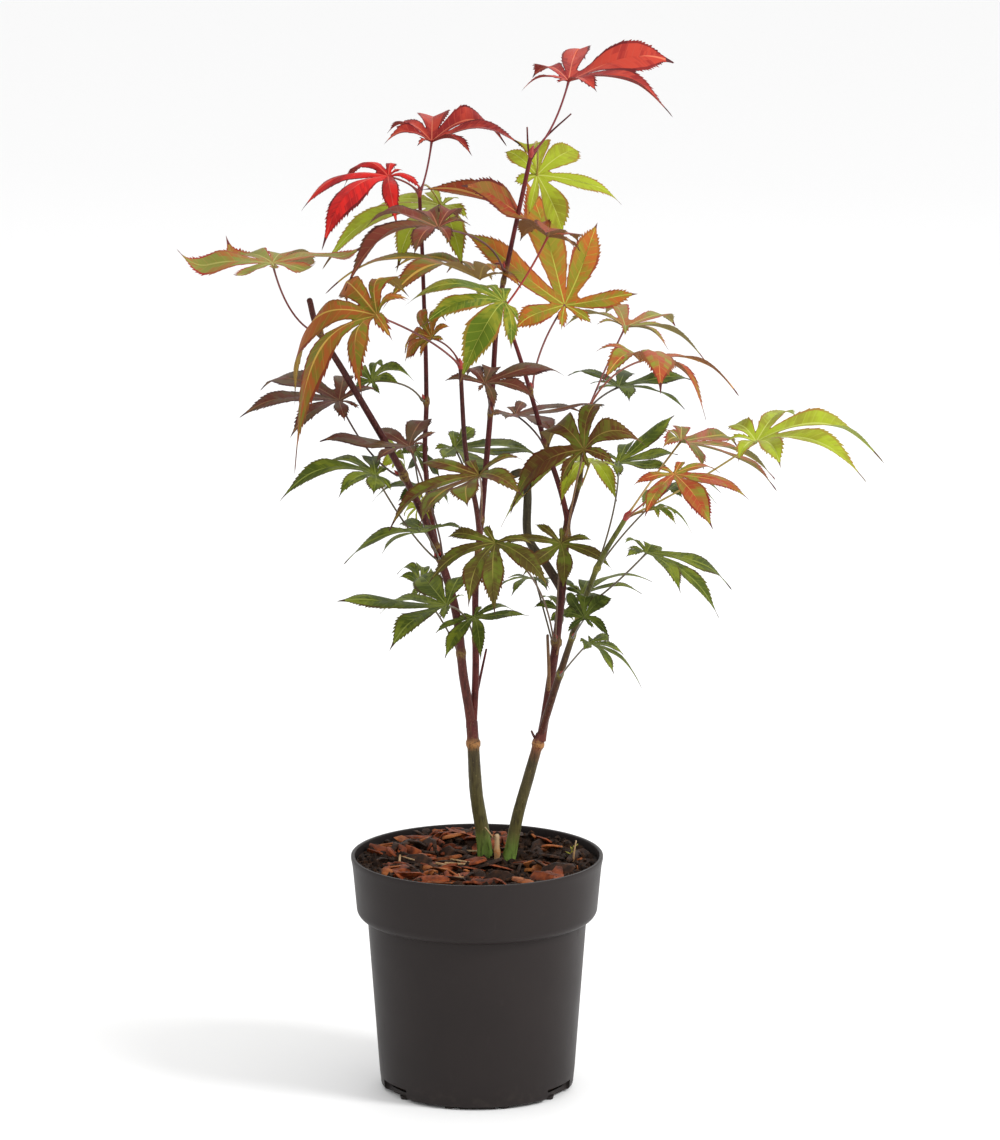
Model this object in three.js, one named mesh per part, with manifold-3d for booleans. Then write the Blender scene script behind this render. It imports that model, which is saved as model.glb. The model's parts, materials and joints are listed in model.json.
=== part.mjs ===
// Potted Japanese maple: a young shrub of two green trunks in a plain round nursery pot.
// Units are millimetres, +Z is up, and the plant is seen from the front by looking along +Y.
// The origin is the centre of the flat underside of the pot.
import * as THREE from 'three';
import { mergeVertices } from 'three/addons/utils/BufferGeometryUtils.js';
import Module from 'manifold-3d';

const wasm = await Module();
wasm.setup();

// ---------------------------------------------------------------- driving dimensions

const GAP = 0.35;
const COMPOST_GAP = 0.5;

const POT = {
  rimRadius: 95,
  height: 180,
  wall: 2,
  bandHeight: 48,
  bandTopRadius: 93.8,
  bandFootRadius: 90.9,
  bandRound: 8,
  bodyTopRadius: 82.7,
  bodyFootRadius: 72.8,
  footHeight: 2,
  footDisc: 18,
  floor: 2.5,
  cornerHeight: 6,
  stepFoot: 2,
  stepTop: 10,
  edge: 1.5,
  lipDepth: 4,
  segments: 32,
};

const DRAIN = { angles: [90, 210, 330], width: 34, height: 10, depth: 9.8 };
const PADS = { count: 10, radius: 64, size: 4, sides: 8, sunk: 0.5, turn: -90 };
const COMPOST = { top: 169, chips: 26, seed: 7 };
const CHIP = { length: 17, width: 8, height: 3, raise: 0.4, tilt: 0.3, turn: 2.4, inner: 16,
  spread: 58, clear: 23 };
const LIMB = { sides: 7, step: 28, frames: 200, flareRate: 9, ringWidth: 0.025, ringReach: 0.03 };
const BLADE = {
  lobes: 7,
  ratios: [1, 0.92, 0.68, 0.35],
  thickness: 1.5,
  width: 0.15,
  stations: [[0.4, 1], [0.7, 0.66]],
  shortStation: [0.46, 1],
  shortLength: 54,
  sinus: 0.26,
  sinusLimit: 1.6,
  notch: 0.07,
  arch: 0.05,
  room: 0.94,
  edgeAngle: 25,
  ribHeights: [0.95, 0.7],
};
const WOBBLE = { turn: 18, length: 0.36, droop: 0.5 };
const STALK = { sides: 3, radius: 0.9, taper: 0.85, steps: 4, climb: 0.3, lean: 0.22 };
const COLLAR = { sides: 6, wall: 1.5, height: 3.2, tipLength: 4.5, tipReach: 0.5 };

const FINISHES = {
  pot: { color: 0x3a3839, roughness: 0.55 },
  compost: { color: 0x3a2418, roughness: 1 },
  greenBark: { color: 0x55602e, roughness: 0.6 },
  redBark: { color: 0x4a2220, roughness: 0.5 },
  deadWood: { color: 0x8a7654, roughness: 0.8 },
  red: { color: 0xa63431, roughness: 0.6 },
  orange: { color: 0xb0612f, roughness: 0.6 },
  purple: { color: 0x6a4038, roughness: 0.6 },
  olive: { color: 0x5d5a25, roughness: 0.6 },
  green: { color: 0x4b6a20, roughness: 0.6 },
  lime: { color: 0x8fa02c, roughness: 0.6 },
};

// Each limb is a smooth line through a few points with a radius at its foot and at its tip.
// Rings are low swellings at old leaf joints: the share of the length, and the growth there.
const LIMBS = {
  trunk_left: {
    path: [[7, 32, 164], [3, 31, 196], [-1, 30, 224], [-3, 28, 259], [-4, 28, 276]],
    radii: [5.5, 4.4], flare: 1.22, rings: [[0.85, 0.32]], bark: 'greenBark',
  },
  trunk_right: {
    path: [[23, 27, 164], [30, 26, 200], [40, 25, 238], [48, 23, 267]],
    radii: [4.7, 3.9], flare: 1.3, rings: [[0.93, 0.35]], bark: 'greenBark',
  },
  bough_tall: {
    path: [[-3, 29, 277], [-1, 35, 312], [-1, 36, 382], [4, 34, 439], [11, 30, 523],
      [16, 26, 592], [25, 23, 638], [40, 20, 709]],
    radii: [2.8, 1.6], rings: [[0.31, 0.3], [0.78, 0.3]], bark: 'redBark',
  },
  bough_outer_left: {
    path: [[-5, 28, 278], [-10, 24, 311], [-16, 16, 364], [-30, 6, 414], [-51, -10, 467],
      [-97, -35, 555], [-118, -42, 593], [-123, -46, 613]],
    radii: [3.6, 2.2], rings: [[0.4, 0.3], [0.57, 0.25], [0.93, 0.4]], bark: 'redBark',
  },
  bough_back_left: {
    path: [[-30, 7, 413], [-35, 26, 440], [-39, 45, 476], [-38, 58, 519], [-41, 70, 626],
      [-43, 72, 670]],
    radii: [2.1, 1.4], rings: [[0.43, 0.35]], bark: 'redBark',
  },
  bough_front: {
    path: [[2, 34, 420], [-1, 14, 447], [-8, -4, 488], [-12, -26, 558]],
    radii: [2.1, 1.6], rings: [], bark: 'redBark',
  },
  bough_right: {
    path: [[49, 23, 268], [56, 32, 310], [60, 40, 338], [64, 48, 373], [68, 60, 424]],
    radii: [3.5, 2.8], rings: [[0.45, 0.3], [0.95, 0.3]], bark: 'redBark',
  },
  bough_right_inner: {
    path: [[68, 60, 425], [63, 60, 447], [51, 54, 486], [35, 42, 544], [27, 34, 570]],
    radii: [2.2, 1.5], rings: [[0.7, 0.3]], bark: 'redBark',
  },
  bough_right_upper: {
    path: [[68, 60, 423], [77, 65, 452], [80, 68, 477], [83, 66, 505]],
    radii: [2.1, 1.6], rings: [], bark: 'redBark',
  },
  bough_outer_right: {
    path: [[48, 23, 266], [57, 10, 300], [65, 0, 328], [82, -24, 386], [92, -34, 414],
      [110, -46, 448]],
    radii: [3.2, 2.2], rings: [[0.55, 0.25], [0.77, 0.35]], bark: 'redBark',
  },
  branch_pruned: {
    path: [[65, 50, 372], [51, 56, 393], [39, 58, 411], [38, 58, 446], [37, 58, 462]],
    radii: [3.4, 3.1], rings: [[0.92, 0.15]], bark: 'greenBark',
  },
  twig_bare: {
    path: [[-3, 31, 285], [2, 44, 305], [7, 50, 327]],
    radii: [1.3, 0.8], rings: [], bark: 'redBark',
  },
  twig_dead_inner: {
    path: [[54, 28, 300], [54, 16, 318], [53, 10, 347]],
    radii: [1.5, 1.1], rings: [], bark: 'deadWood',
  },
  stub_dead: {
    path: [[15, 22, 164], [15, 22, 176], [15, 22, 189]],
    radii: [2.3, 1.8], rings: [[0.5, 0.35]], bark: 'deadWood',
  },
};

// A limb that springs from others is cut clear of them at its root.
const SPRINGS_FROM = {
  bough_tall: ['trunk_left'],
  bough_outer_left: ['trunk_left', 'bough_tall'],
  bough_back_left: ['bough_outer_left'],
  bough_front: ['bough_tall'],
  bough_right: ['trunk_right'],
  bough_right_inner: ['bough_right'],
  bough_right_upper: ['bough_right', 'bough_right_inner'],
  bough_outer_right: ['trunk_right', 'bough_right'],
  branch_pruned: ['bough_right'],
  twig_bare: ['bough_tall'],
  twig_dead_inner: ['bough_right', 'bough_outer_right'],
};

// A leaf: the heart where its lobes meet, then the bearing, rise and roll of its middle lobe in
// degrees, that lobe's length, the angle between lobes, the droop, the lopsidedness, and the
// seed of the small differences between its lobes.
function leaf(heart, bearing, rise, roll, span, fan, droop, skew, seed) {
  return { heart, bearing, rise, roll, span, fan, droop, skew, seed };
}

// A mass of foliage: the limb that carries it, the share of that limb's length, its leaves.
const MASSES = {
  foliage_tall_tip: {
    limb: 'bough_tall', at: 1, tint: 'red', leaves: [
      leaf([68, 15, 766], 335, -10, 5, 88, 48, -0.15, 0, 264),
      leaf([45, 85, 684], 45, 25, 25, 64, 42, 0.35, 0, 144),
    ],
  },
  foliage_tall_high: {
    limb: 'bough_tall', at: 0.8, tint: 'orange', leaves: [
      leaf([-28, -50, 667], 155, -5, -10, 75, 46, 0, 0.1, 23),
      leaf([2, 45, 612], 185, 5, -5, 121, 40, -0.05, 0.3, 398),
    ],
  },
  foliage_tall_upper: {
    limb: 'bough_tall', at: 0.73, tint: 'orange', leaves: [
      leaf([53, 35, 646], 180, 15, 5, 97, 44, -0.2, -0.15, 331),
    ],
  },
  foliage_tall_middle: {
    limb: 'bough_tall', at: 0.55, tint: 'purple', leaves: [
      leaf([6, -15, 544], 25, 10, 15, 57, 46, 0.25, 0.4, 267),
    ],
  },
  foliage_tall_lower: {
    limb: 'bough_tall', at: 0.36, tint: 'olive', leaves: [
      leaf([2, -70, 486], 225, -35, 5, 84, 42, -0.2, 0.1, 93),
      leaf([-17, 90, 474], 340, -20, 10, 63, 42, -0.2, 0.05, 125),
    ],
  },
  foliage_tall_foot: {
    limb: 'bough_tall', at: 0.15, tint: 'green', leaves: [
      leaf([-22, -50, 383], 150, -10, -15, 79, 38, -0.15, 0.2, 216),
      leaf([-2, 10, 361], 290, -20, 20, 45, 46, 0.05, 0.05, 216),
    ],
  },
  foliage_back_tip: {
    limb: 'bough_back_left', at: 1, tint: 'red', leaves: [
      leaf([-34, 85, 709], 85, 5, 5, 69, 44, -0.05, -0.4, 368),
      leaf([-66, 55, 688], 175, -10, -20, 67, 50, 0.35, 0.35, 380),
      leaf([-27, 115, 655], 190, -10, -10, 79, 44, 0.15, 0.3, 196),
    ],
  },
  foliage_back_middle: {
    limb: 'bough_back_left', at: 0.43, tint: 'green', leaves: [
      leaf([-78, 25, 538], 60, 55, -25, 41, 42, 0.4, -0.35, 224),
    ],
  },
  foliage_back_lower: {
    limb: 'bough_back_left', at: 0.12, tint: 'lime', leaves: [
      leaf([-63, 45, 476], 110, 50, 50, 40, 50, 0.4, 0, 261),
      leaf([-48, 65, 478], 310, -65, -30, 41, 42, 0, 0, 22),
      leaf([-44, 22, 443], 35, 65, -10, 41, 48, 0.5, 0.2, 386),
      leaf([-38, 88, 440], 175, 20, -5, 43, 50, 0.35, -0.05, 135),
    ],
  },
  foliage_left_tip: {
    limb: 'bough_outer_left', at: 0.935, tint: 'orange', leaves: [
      leaf([-150, -50, 641], 120, -5, -10, 79, 50, -0.2, -0.4, 91),
    ],
  },
  foliage_left_middle: {
    limb: 'bough_outer_left', at: 0.575, tint: 'purple', leaves: [
      leaf([-102, -25, 533], 185, 0, -15, 74, 46, -0.05, -0.3, 144),
    ],
  },
  foliage_left_lower: {
    limb: 'bough_outer_left', at: 0.375, tint: 'purple', leaves: [
      leaf([-50, -32, 500], 125, -5, -15, 57, 50, -0.2, 0.4, 285),
      leaf([-75, -50, 482], 190, 15, -10, 71, 42, 0.1, -0.1, 90),
      leaf([-38, -40, 437], 220, -10, 10, 60, 50, -0.1, -0.1, 204),
    ],
  },
  foliage_left_base: {
    limb: 'bough_outer_left', at: 0.16, tint: 'green', leaves: [
      leaf([-43, 60, 371], 165, 70, -5, 45, 38, 0.35, -0.4, 276),
    ],
  },
  foliage_front_tip: {
    limb: 'bough_front', at: 1, tint: 'orange', leaves: [
      leaf([-72, -105, 612], 140, -30, -40, 91, 46, 0.3, 0.1, 353),
      leaf([-33, 8, 574], 95, 45, -55, 43, 38, 0.35, 0, 306),
    ],
  },
  foliage_inner_tip: {
    limb: 'bough_right_inner', at: 1, tint: 'green', leaves: [
      leaf([20, -78, 617], 210, 10, -30, 70, 38, 0.5, -0.35, 333),
    ],
  },
  foliage_inner_upper: {
    limb: 'bough_right_inner', at: 0.7, tint: 'orange', leaves: [
      leaf([66, 100, 582], 115, 40, -5, 82, 50, -0.2, -0.05, 213),
    ],
  },
  foliage_inner_lower: {
    limb: 'bough_right_inner', at: 0.4, tint: 'purple', leaves: [
      leaf([29, 92, 499], 345, -10, 5, 61, 44, -0.2, -0.25, 125),
    ],
  },
  foliage_upper_tip: {
    limb: 'bough_right_upper', at: 1, tint: 'orange', leaves: [
      leaf([112, 110, 563], 60, -10, 10, 71, 48, 0.1, 0.15, 226),
      leaf([121, -40, 566], 325, -15, -10, 84, 42, 0, -0.3, 203),
      leaf([107, 85, 522], 25, -5, 5, 62, 50, 0, 0.05, 217),
    ],
  },
  foliage_upper_foot: {
    limb: 'bough_right_upper', at: 0.35, tint: 'lime', leaves: [
      leaf([85, 75, 466], 185, 0, 0, 61, 50, 0.5, 0.25, 67),
    ],
  },
  foliage_right_top: {
    limb: 'bough_right', at: 0.93, tint: 'olive', leaves: [
      leaf([80, -15, 494], 60, 60, -10, 71, 50, 0.35, 0.4, 351),
    ],
  },
  foliage_right_middle: {
    limb: 'bough_right', at: 0.45, tint: 'olive', leaves: [
      leaf([14, -80, 437], 230, -40, -10, 70, 38, 0, 0.2, 253),
      leaf([63, 15, 416], 225, -30, -30, 49, 50, -0.1, 0.25, 167),
      leaf([44, 85, 373], 280, 5, -5, 48, 38, 0.1, -0.3, 275),
      leaf([64, 75, 349], 150, 45, 5, 40, 44, 0.25, -0.05, 299),
    ],
  },
  foliage_outer_tip: {
    limb: 'bough_outer_right', at: 1, tint: 'lime', leaves: [
      leaf([206, -70, 511], 20, 5, 5, 84, 44, -0.05, -0.05, 257),
      leaf([152, 10, 495], 10, -25, 5, 83, 40, -0.05, -0.3, 157),
      leaf([145, -105, 494], 295, -25, 10, 55, 48, 0.05, 0, 127),
    ],
  },
  foliage_outer_upper: {
    limb: 'bough_outer_right', at: 0.78, tint: 'green', leaves: [
      leaf([107, 85, 464], 0, -5, 15, 54, 42, -0.15, 0.05, 73),
      leaf([143, 30, 454], 25, 10, -10, 47, 48, 0.35, 0, 315),
    ],
  },
  foliage_outer_middle: {
    limb: 'bough_outer_right', at: 0.62, tint: 'green', leaves: [
      leaf([125, -95, 433], 340, -25, -5, 65, 48, 0.15, 0.25, 161),
    ],
  },
  foliage_outer_lower: {
    limb: 'bough_outer_right', at: 0.47, tint: 'green', leaves: [
      leaf([79, 45, 370], 25, 20, 0, 54, 46, 0.05, -0.3, 35),
      leaf([80, -60, 376], 55, 70, -5, 41, 40, 0.45, 0.15, 387),
    ],
  },
  foliage_outer_foot: {
    limb: 'bough_outer_right', at: 0.3, tint: 'green', leaves: [
      leaf([83, -80, 362], 340, -30, -5, 44, 38, -0.15, -0.05, 90),
    ],
  },
};

// ---------------------------------------------------------------- small helpers

const radians = THREE.MathUtils.degToRad;

/** A repeatable number from 0 to 1 for a seed and a step. */
function chance(seed, step) {
  const wave = Math.sin(seed * 12.9898 + step * 78.233) * 43758.5453;
  return wave - Math.floor(wave);
}

function point([x, y, z]) {
  return new THREE.Vector3(x, y, z);
}

/** A closed geometry as a solid that can be joined and cut. */
function solid(geometry) {
  const bare = geometry.clone();
  bare.deleteAttribute('normal');
  bare.deleteAttribute('uv');
  const merged = mergeVertices(bare, 1e-4);
  return new wasm.Manifold(new wasm.Mesh({
    numProp: 3,
    vertProperties: new Float32Array(merged.attributes.position.array),
    triVerts: new Uint32Array(merged.index.array),
  }));
}

/** The geometry of a joined or cut solid. */
function geometryOf(body) {
  const mesh = body.getMesh();
  const geometry = new THREE.BufferGeometry();
  geometry.setAttribute('position', new THREE.BufferAttribute(mesh.vertProperties, 3));
  geometry.setIndex(new THREE.BufferAttribute(mesh.triVerts, 1));
  return geometry;
}

function joined(bodies) {
  return bodies.reduce((whole, body) => whole.add(body));
}

/** The largest piece of a solid, without the scraps that a cut leaves. */
function largest(body) {
  const pieces = body.decompose();
  return pieces.reduce((best, piece) => (piece.volume() > best.volume() ? piece : best));
}

function node(name, body, finish) {
  const material = new THREE.MeshStandardMaterial({ metalness: 0, ...FINISHES[finish] });
  const mesh = new THREE.Mesh(geometryOf(body), material);
  mesh.name = name;
  return mesh;
}

function turned(profile) {
  const points = profile.map(([radius, height]) => new THREE.Vector2(radius, height));
  return new THREE.LatheGeometry(points, POT.segments).rotateX(Math.PI / 2);
}

// ---------------------------------------------------------------- pot and compost

/** The radius of the pot's outer wall at a height under the band. */
function bodyRadius(height) {
  const share = height / (POT.height - POT.bandHeight);
  return THREE.MathUtils.lerp(POT.bodyFootRadius, POT.bodyTopRadius, share);
}

/** The radius of the band's outer face at a height. */
function bandRadius(height) {
  const share = (height - POT.height + POT.bandHeight) / POT.bandHeight;
  return THREE.MathUtils.lerp(POT.bandFootRadius, POT.bandTopRadius, share);
}

/** Points on the inner wall from the floor to the rim, set in by a clearance. */
function innerWall(clearance, top) {
  const inset = POT.wall + clearance;
  const bandFoot = POT.height - POT.bandHeight;
  const floor = POT.footHeight + POT.floor + clearance;
  return [
    [bodyRadius(0) - inset - POT.cornerHeight / 2, floor],
    [bodyRadius(POT.cornerHeight) - inset, floor + POT.cornerHeight],
    [bodyRadius(bandFoot - POT.stepFoot) - inset, bandFoot - POT.stepFoot],
    [bandRadius(bandFoot + POT.stepTop) - inset, bandFoot + POT.stepTop],
    [bandRadius(top) - inset, top],
  ];
}

/** The rounding that leads from under the band out to its upright face. */
function underBand() {
  const centre = [POT.bandFootRadius - POT.bandRound, POT.height - POT.bandHeight + POT.bandRound];
  const turn = new THREE.EllipseCurve(...centre, POT.bandRound, POT.bandRound, radians(-80), 0);
  return turn.getPoints(4).map(({ x, y }) => [x, y]);
}

function makePot() {
  const bandFoot = POT.height - POT.bandHeight;
  const outer = [
    [0, 0],
    [POT.footDisc, 0],
    [POT.footDisc + POT.footHeight, POT.footHeight],
    [bodyRadius(0) - POT.cornerHeight, POT.footHeight],
    [bodyRadius(0) - POT.edge, POT.footHeight + POT.edge],
    [bodyRadius(POT.cornerHeight), POT.cornerHeight + POT.edge],
    [bodyRadius(bandFoot - POT.stepFoot), bandFoot - POT.stepFoot],
    ...underBand(),
    [POT.bandTopRadius, POT.height - POT.lipDepth - 1],
    [POT.rimRadius, POT.height - POT.lipDepth],
    [POT.rimRadius, POT.height - 1],
    [POT.rimRadius - 1, POT.height],
  ];
  const inner = innerWall(0, POT.height).reverse();
  const profile = [...outer, ...inner, [0, POT.footHeight + POT.floor]];
  let pot = solid(turned(profile));
  for (const angle of DRAIN.angles) {
    const slot = new THREE.BoxGeometry(DRAIN.depth, DRAIN.width, DRAIN.height * 2);
    slot.translate(POT.bodyFootRadius, 0, 0);
    slot.rotateZ(radians(angle));
    pot = pot.subtract(solid(slot));
  }
  const padHeight = POT.footHeight + PADS.sunk;
  for (let i = 0; i < PADS.count; i += 1) {
    const pad = new THREE.CylinderGeometry(PADS.size, PADS.size, padHeight, PADS.sides);
    pad.rotateX(Math.PI / 2);
    pad.translate(PADS.radius, 0, padHeight / 2);
    pad.rotateZ(radians(PADS.turn + (360 / PADS.count) * (i + 0.5)));
    pot = pot.add(solid(pad));
  }
  return largest(pot);
}

/** Compost with bark chips half sunk in its top, kept off the feet of the stems. */
function makeCompost(feet) {
  const profile = [
    [0, POT.footHeight + POT.floor + COMPOST_GAP],
    ...innerWall(COMPOST_GAP, COMPOST.top),
    [0, COMPOST.top],
  ];
  let compost = solid(turned(profile));
  for (let i = 0; i < COMPOST.chips; i += 1) {
    const angle = i * CHIP.turn;
    const reach = CHIP.inner + CHIP.spread * Math.sqrt((i + 0.5) / COMPOST.chips);
    const x = reach * Math.cos(angle);
    const y = reach * Math.sin(angle);
    const near = feet.some(([fx, fy]) => Math.hypot(x - fx, y - fy) < CHIP.clear);
    if (near) continue;
    const size = 0.7 + 0.6 * chance(COMPOST.seed, i);
    const chip = new THREE.BoxGeometry(CHIP.length * size, CHIP.width * size, CHIP.height);
    chip.rotateX(CHIP.tilt * (chance(COMPOST.seed, i + 40) - 0.5));
    chip.rotateY(CHIP.tilt * (chance(COMPOST.seed, i + 80) - 0.5));
    chip.rotateZ(2 * Math.PI * chance(COMPOST.seed, i + 120));
    chip.translate(x, y, COMPOST.top + CHIP.raise);
    compost = compost.add(solid(chip));
  }
  return largest(compost);
}

// ---------------------------------------------------------------- trunks and boughs

function limbCurve(limb) {
  return new THREE.CatmullRomCurve3(limb.path.map(point), false, 'centripetal');
}

/** The radius of a limb at a share of its length, with its root flare and old leaf joints. */
function limbRadius(limb, share) {
  const taper = THREE.MathUtils.lerp(limb.radii[0], limb.radii[1], share);
  const flare = 1 + ((limb.flare ?? 1) - 1) * Math.exp(-share * LIMB.flareRate);
  const swell = limb.rings.reduce(
    (sum, [at, growth]) => sum + growth * Math.exp(-(((share - at) / LIMB.ringWidth) ** 2)), 0);
  return taper * flare * (1 + swell);
}

/** The shares of a limb's length where it has a ring of vertices. */
function limbStations(limb, length) {
  const steps = Math.max(3, Math.round(length / LIMB.step));
  const even = Array.from({ length: steps + 1 }, (_, i) => i / steps);
  const bands = limb.rings.flatMap(([at]) => [at - LIMB.ringReach, at, at + LIMB.ringReach]);
  const clear = LIMB.ringReach / 2;
  const kept = even.filter((share) => bands.every((band) => Math.abs(band - share) > clear));
  const all = [...kept, 0, 1, ...bands.filter((band) => band > 0.01 && band < 0.99)];
  return [...new Set(all)].sort((a, b) => a - b);
}

/** A closed cylinder bent along the limb's line, grown by a clearance where one is given. */
function limbSolid(limb, clearance = 0) {
  const curve = limbCurve(limb);
  const stations = limbStations(limb, curve.getLength());
  const last = stations.length - 1;
  const tube = new THREE.CylinderGeometry(1, 1, 1, LIMB.sides, last);
  const frames = curve.computeFrenetFrames(LIMB.frames, false);
  const position = tube.attributes.position;
  for (let i = 0; i < position.count; i += 1) {
    const index = Math.round((position.getY(i) + 0.5) * last);
    const share = stations[index];
    const frame = Math.round(share * LIMB.frames);
    const radius = limbRadius(limb, share) + clearance;
    const spot = curve.getPointAt(share);
    spot.addScaledVector(frames.normals[frame], position.getX(i) * radius);
    spot.addScaledVector(frames.binormals[frame], -position.getZ(i) * radius);
    if (index === 0) spot.addScaledVector(frames.tangents[frame], -clearance);
    if (index === last) spot.addScaledVector(frames.tangents[frame], clearance);
    position.setXYZ(i, spot.x, spot.y, spot.z);
  }
  return solid(tube);
}

/** Everything below the top of the compost, which cuts the stems flat. */
function ground() {
  const depth = 60;
  const block = new THREE.BoxGeometry(POT.rimRadius * 3, POT.rimRadius * 3, depth);
  block.translate(0, 0, COMPOST.top + GAP - depth / 2);
  return solid(block);
}

function makeLimb(name) {
  const limb = LIMBS[name];
  let body = limbSolid(limb);
  for (const parent of SPRINGS_FROM[name] ?? []) {
    body = body.subtract(limbSolid(LIMBS[parent], GAP));
  }
  return largest(body.subtract(ground()));
}

// ---------------------------------------------------------------- leaves and their masses

/** The three directions of a leaf: along its longest lobe, across it, and out of its face. */
function leafFrame({ bearing, rise, roll }) {
  const b = radians(bearing);
  const r = radians(rise);
  const lead = new THREE.Vector3(Math.cos(r) * Math.cos(b), Math.cos(r) * Math.sin(b), Math.sin(r));
  const level = new THREE.Vector3(-Math.sin(b), Math.cos(b), 0);
  const side = level.clone().applyAxisAngle(lead, radians(roll));
  return { lead, side, face: lead.clone().cross(side) };
}

/** The spot at a share of a lobe's length, off its midrib by a sideways distance. */
function lobeSpot(row, frame, lobe, share, off, lift) {
  const out = frame.lead.clone().multiplyScalar(Math.cos(lobe.angle));
  out.addScaledVector(frame.side, Math.sin(lobe.angle));
  const across = frame.side.clone().multiplyScalar(Math.cos(lobe.angle));
  across.addScaledVector(frame.lead, -Math.sin(lobe.angle));
  const reach = share * lobe.length;
  const spot = point(row.heart).addScaledVector(out, reach).addScaledVector(across, off);
  const arch = BLADE.arch * lobe.length * Math.sin(Math.PI * Math.min(share, 1));
  spot.addScaledVector(frame.face, arch + lift);
  spot.z -= (lobe.droop * reach * reach) / row.span;
  return spot;
}

/** The lobes of a leaf from right to left, each a little unlike the rule by the leaf's seed. */
function lobesOf(row) {
  const half = (BLADE.lobes - 1) / 2;
  const wobble = (step, size) => size * (chance(row.seed, step) - 0.5);
  return Array.from({ length: BLADE.lobes }, (_, i) => {
    const place = i - half;
    const ratio = BLADE.ratios[Math.abs(place)] * (1 + (row.skew * place) / half);
    return {
      angle: radians(place * row.fan + wobble(i, WOBBLE.turn)),
      length: row.span * ratio * (1 + wobble(i + 9, WOBBLE.length)),
      droop: row.droop + wobble(i + 18, WOBBLE.droop),
    };
  });
}

/** The triangles between a midrib and the edge beside it, which meet at the lobe's tip. */
function strip(ribs, edge, facing) {
  const triangles = [];
  for (let k = 0; k + 1 < ribs.length; k += 1) {
    triangles.push([ribs[k], edge[k], edge[k + 1]]);
    if (k + 2 < ribs.length) triangles.push([ribs[k], edge[k + 1], ribs[k + 1]]);
  }
  return triangles.flatMap(([a, b, c]) => (facing ? [a, b, c] : [a, c, b]));
}

/** Half the angle between a lobe and its neighbour on one side. */
function roomBeside(lobes, i, way) {
  const next = lobes[i + way];
  return next ? Math.abs(next.angle - lobes[i].angle) / 2 : radians(BLADE.edgeAngle);
}

/** A palmate blade: pointed lobes round a heart, thickest on the midribs, closed at its edge. */
function makeBlade(row) {
  const frame = leafFrame(row);
  const lobes = lobesOf(row);
  const vertices = [];
  const faces = [];
  const add = (spot) => vertices.push(spot.x, spot.y, spot.z) / 3 - 1;
  const mid = BLADE.thickness / 2;
  const centre = [mid, -mid].map((lift) => add(lobeSpot(row, frame, lobes[0], 0, 0, lift)));
  const sinusAfter = lobes.map((lobe, i) => {
    const next = lobes[(i + 1) % lobes.length];
    const open = i === lobes.length - 1;
    const angle = open ? Math.PI : (lobe.angle + next.angle) / 2;
    const longer = Math.max(lobe.length, next.length);
    const shorter = Math.min(lobe.length, next.length);
    const depth = BLADE.sinus * Math.min(longer, BLADE.sinusLimit * shorter);
    const length = open ? BLADE.notch * row.span : depth;
    return add(lobeSpot(row, frame, { angle, length, droop: row.droop }, 1, 0, 0));
  });
  lobes.forEach((lobe, i) => {
    const before = sinusAfter[(i + lobes.length - 1) % lobes.length];
    const after = sinusAfter[i];
    const short = lobe.length < BLADE.shortLength;
    const stations = short ? [BLADE.shortStation] : BLADE.stations;
    const [right, left] = [-1, 1].map((way) => stations.map(([share, width]) => {
      const room = BLADE.room * share * Math.tan(roomBeside(lobes, i, way));
      const half = Math.min(width * BLADE.width, room) * lobe.length;
      return add(lobeSpot(row, frame, lobe, share, way * half, 0));
    }));
    const tip = add(lobeSpot(row, frame, lobe, 1, 0, 0));
    [1, -1].forEach((way, face) => {
      const rib = stations.map(([share], k) => add(
        lobeSpot(row, frame, lobe, share, 0, way * mid * BLADE.ribHeights[k])));
      const ribs = [centre[face], ...rib, tip];
      faces.push(...strip(ribs, [before, ...right, tip], way > 0));
      faces.push(...strip(ribs, [after, ...left, tip], way < 0));
    });
  });
  const blade = new THREE.BufferGeometry();
  blade.setAttribute('position', new THREE.Float32BufferAttribute(vertices, 3));
  blade.setIndex(faces);
  return solid(blade);
}

/** The line of a leaf's stalk, from the collar's wall on a limb up to the leaf's heart. */
function stalkCurve(joint, along, reach, row) {
  const heart = point(row.heart);
  const span = joint.distanceTo(heart);
  const aside = heart.clone().sub(joint);
  aside.addScaledVector(along, -aside.dot(along)).normalize();
  const foot = joint.clone().addScaledVector(aside, reach);
  const bend = foot.clone().addScaledVector(along, STALK.climb * span);
  bend.addScaledVector(aside, STALK.lean * span);
  return new THREE.QuadraticBezierCurve3(foot, bend, heart);
}

/** A slim three-sided stalk bent along its line. */
function makeStalk(curve) {
  const tube = new THREE.CylinderGeometry(
    STALK.radius * STALK.taper, STALK.radius, 1, STALK.sides, STALK.steps);
  const frames = curve.computeFrenetFrames(STALK.steps, false);
  const position = tube.attributes.position;
  for (let i = 0; i < position.count; i += 1) {
    const index = Math.round((position.getY(i) + 0.5) * STALK.steps);
    const spot = curve.getPointAt(index / STALK.steps);
    spot.addScaledVector(frames.normals[index], position.getX(i));
    spot.addScaledVector(frames.binormals[index], -position.getZ(i));
    position.setXYZ(i, spot.x, spot.y, spot.z);
  }
  return solid(tube);
}

/** The collar that clasps a limb, or the longer bud that stands on its tip. */
function makeCollar(outer, at, joint, along) {
  const height = at === 1 ? COLLAR.tipLength : COLLAR.height;
  const ring = new THREE.CylinderGeometry(outer, outer, height, COLLAR.sides);
  ring.rotateX(Math.PI / 2);
  ring.applyQuaternion(new THREE.Quaternion().setFromUnitVectors(
    new THREE.Vector3(0, 0, 1), along));
  ring.translate(joint.x, joint.y, joint.z);
  return solid(ring);
}

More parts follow.
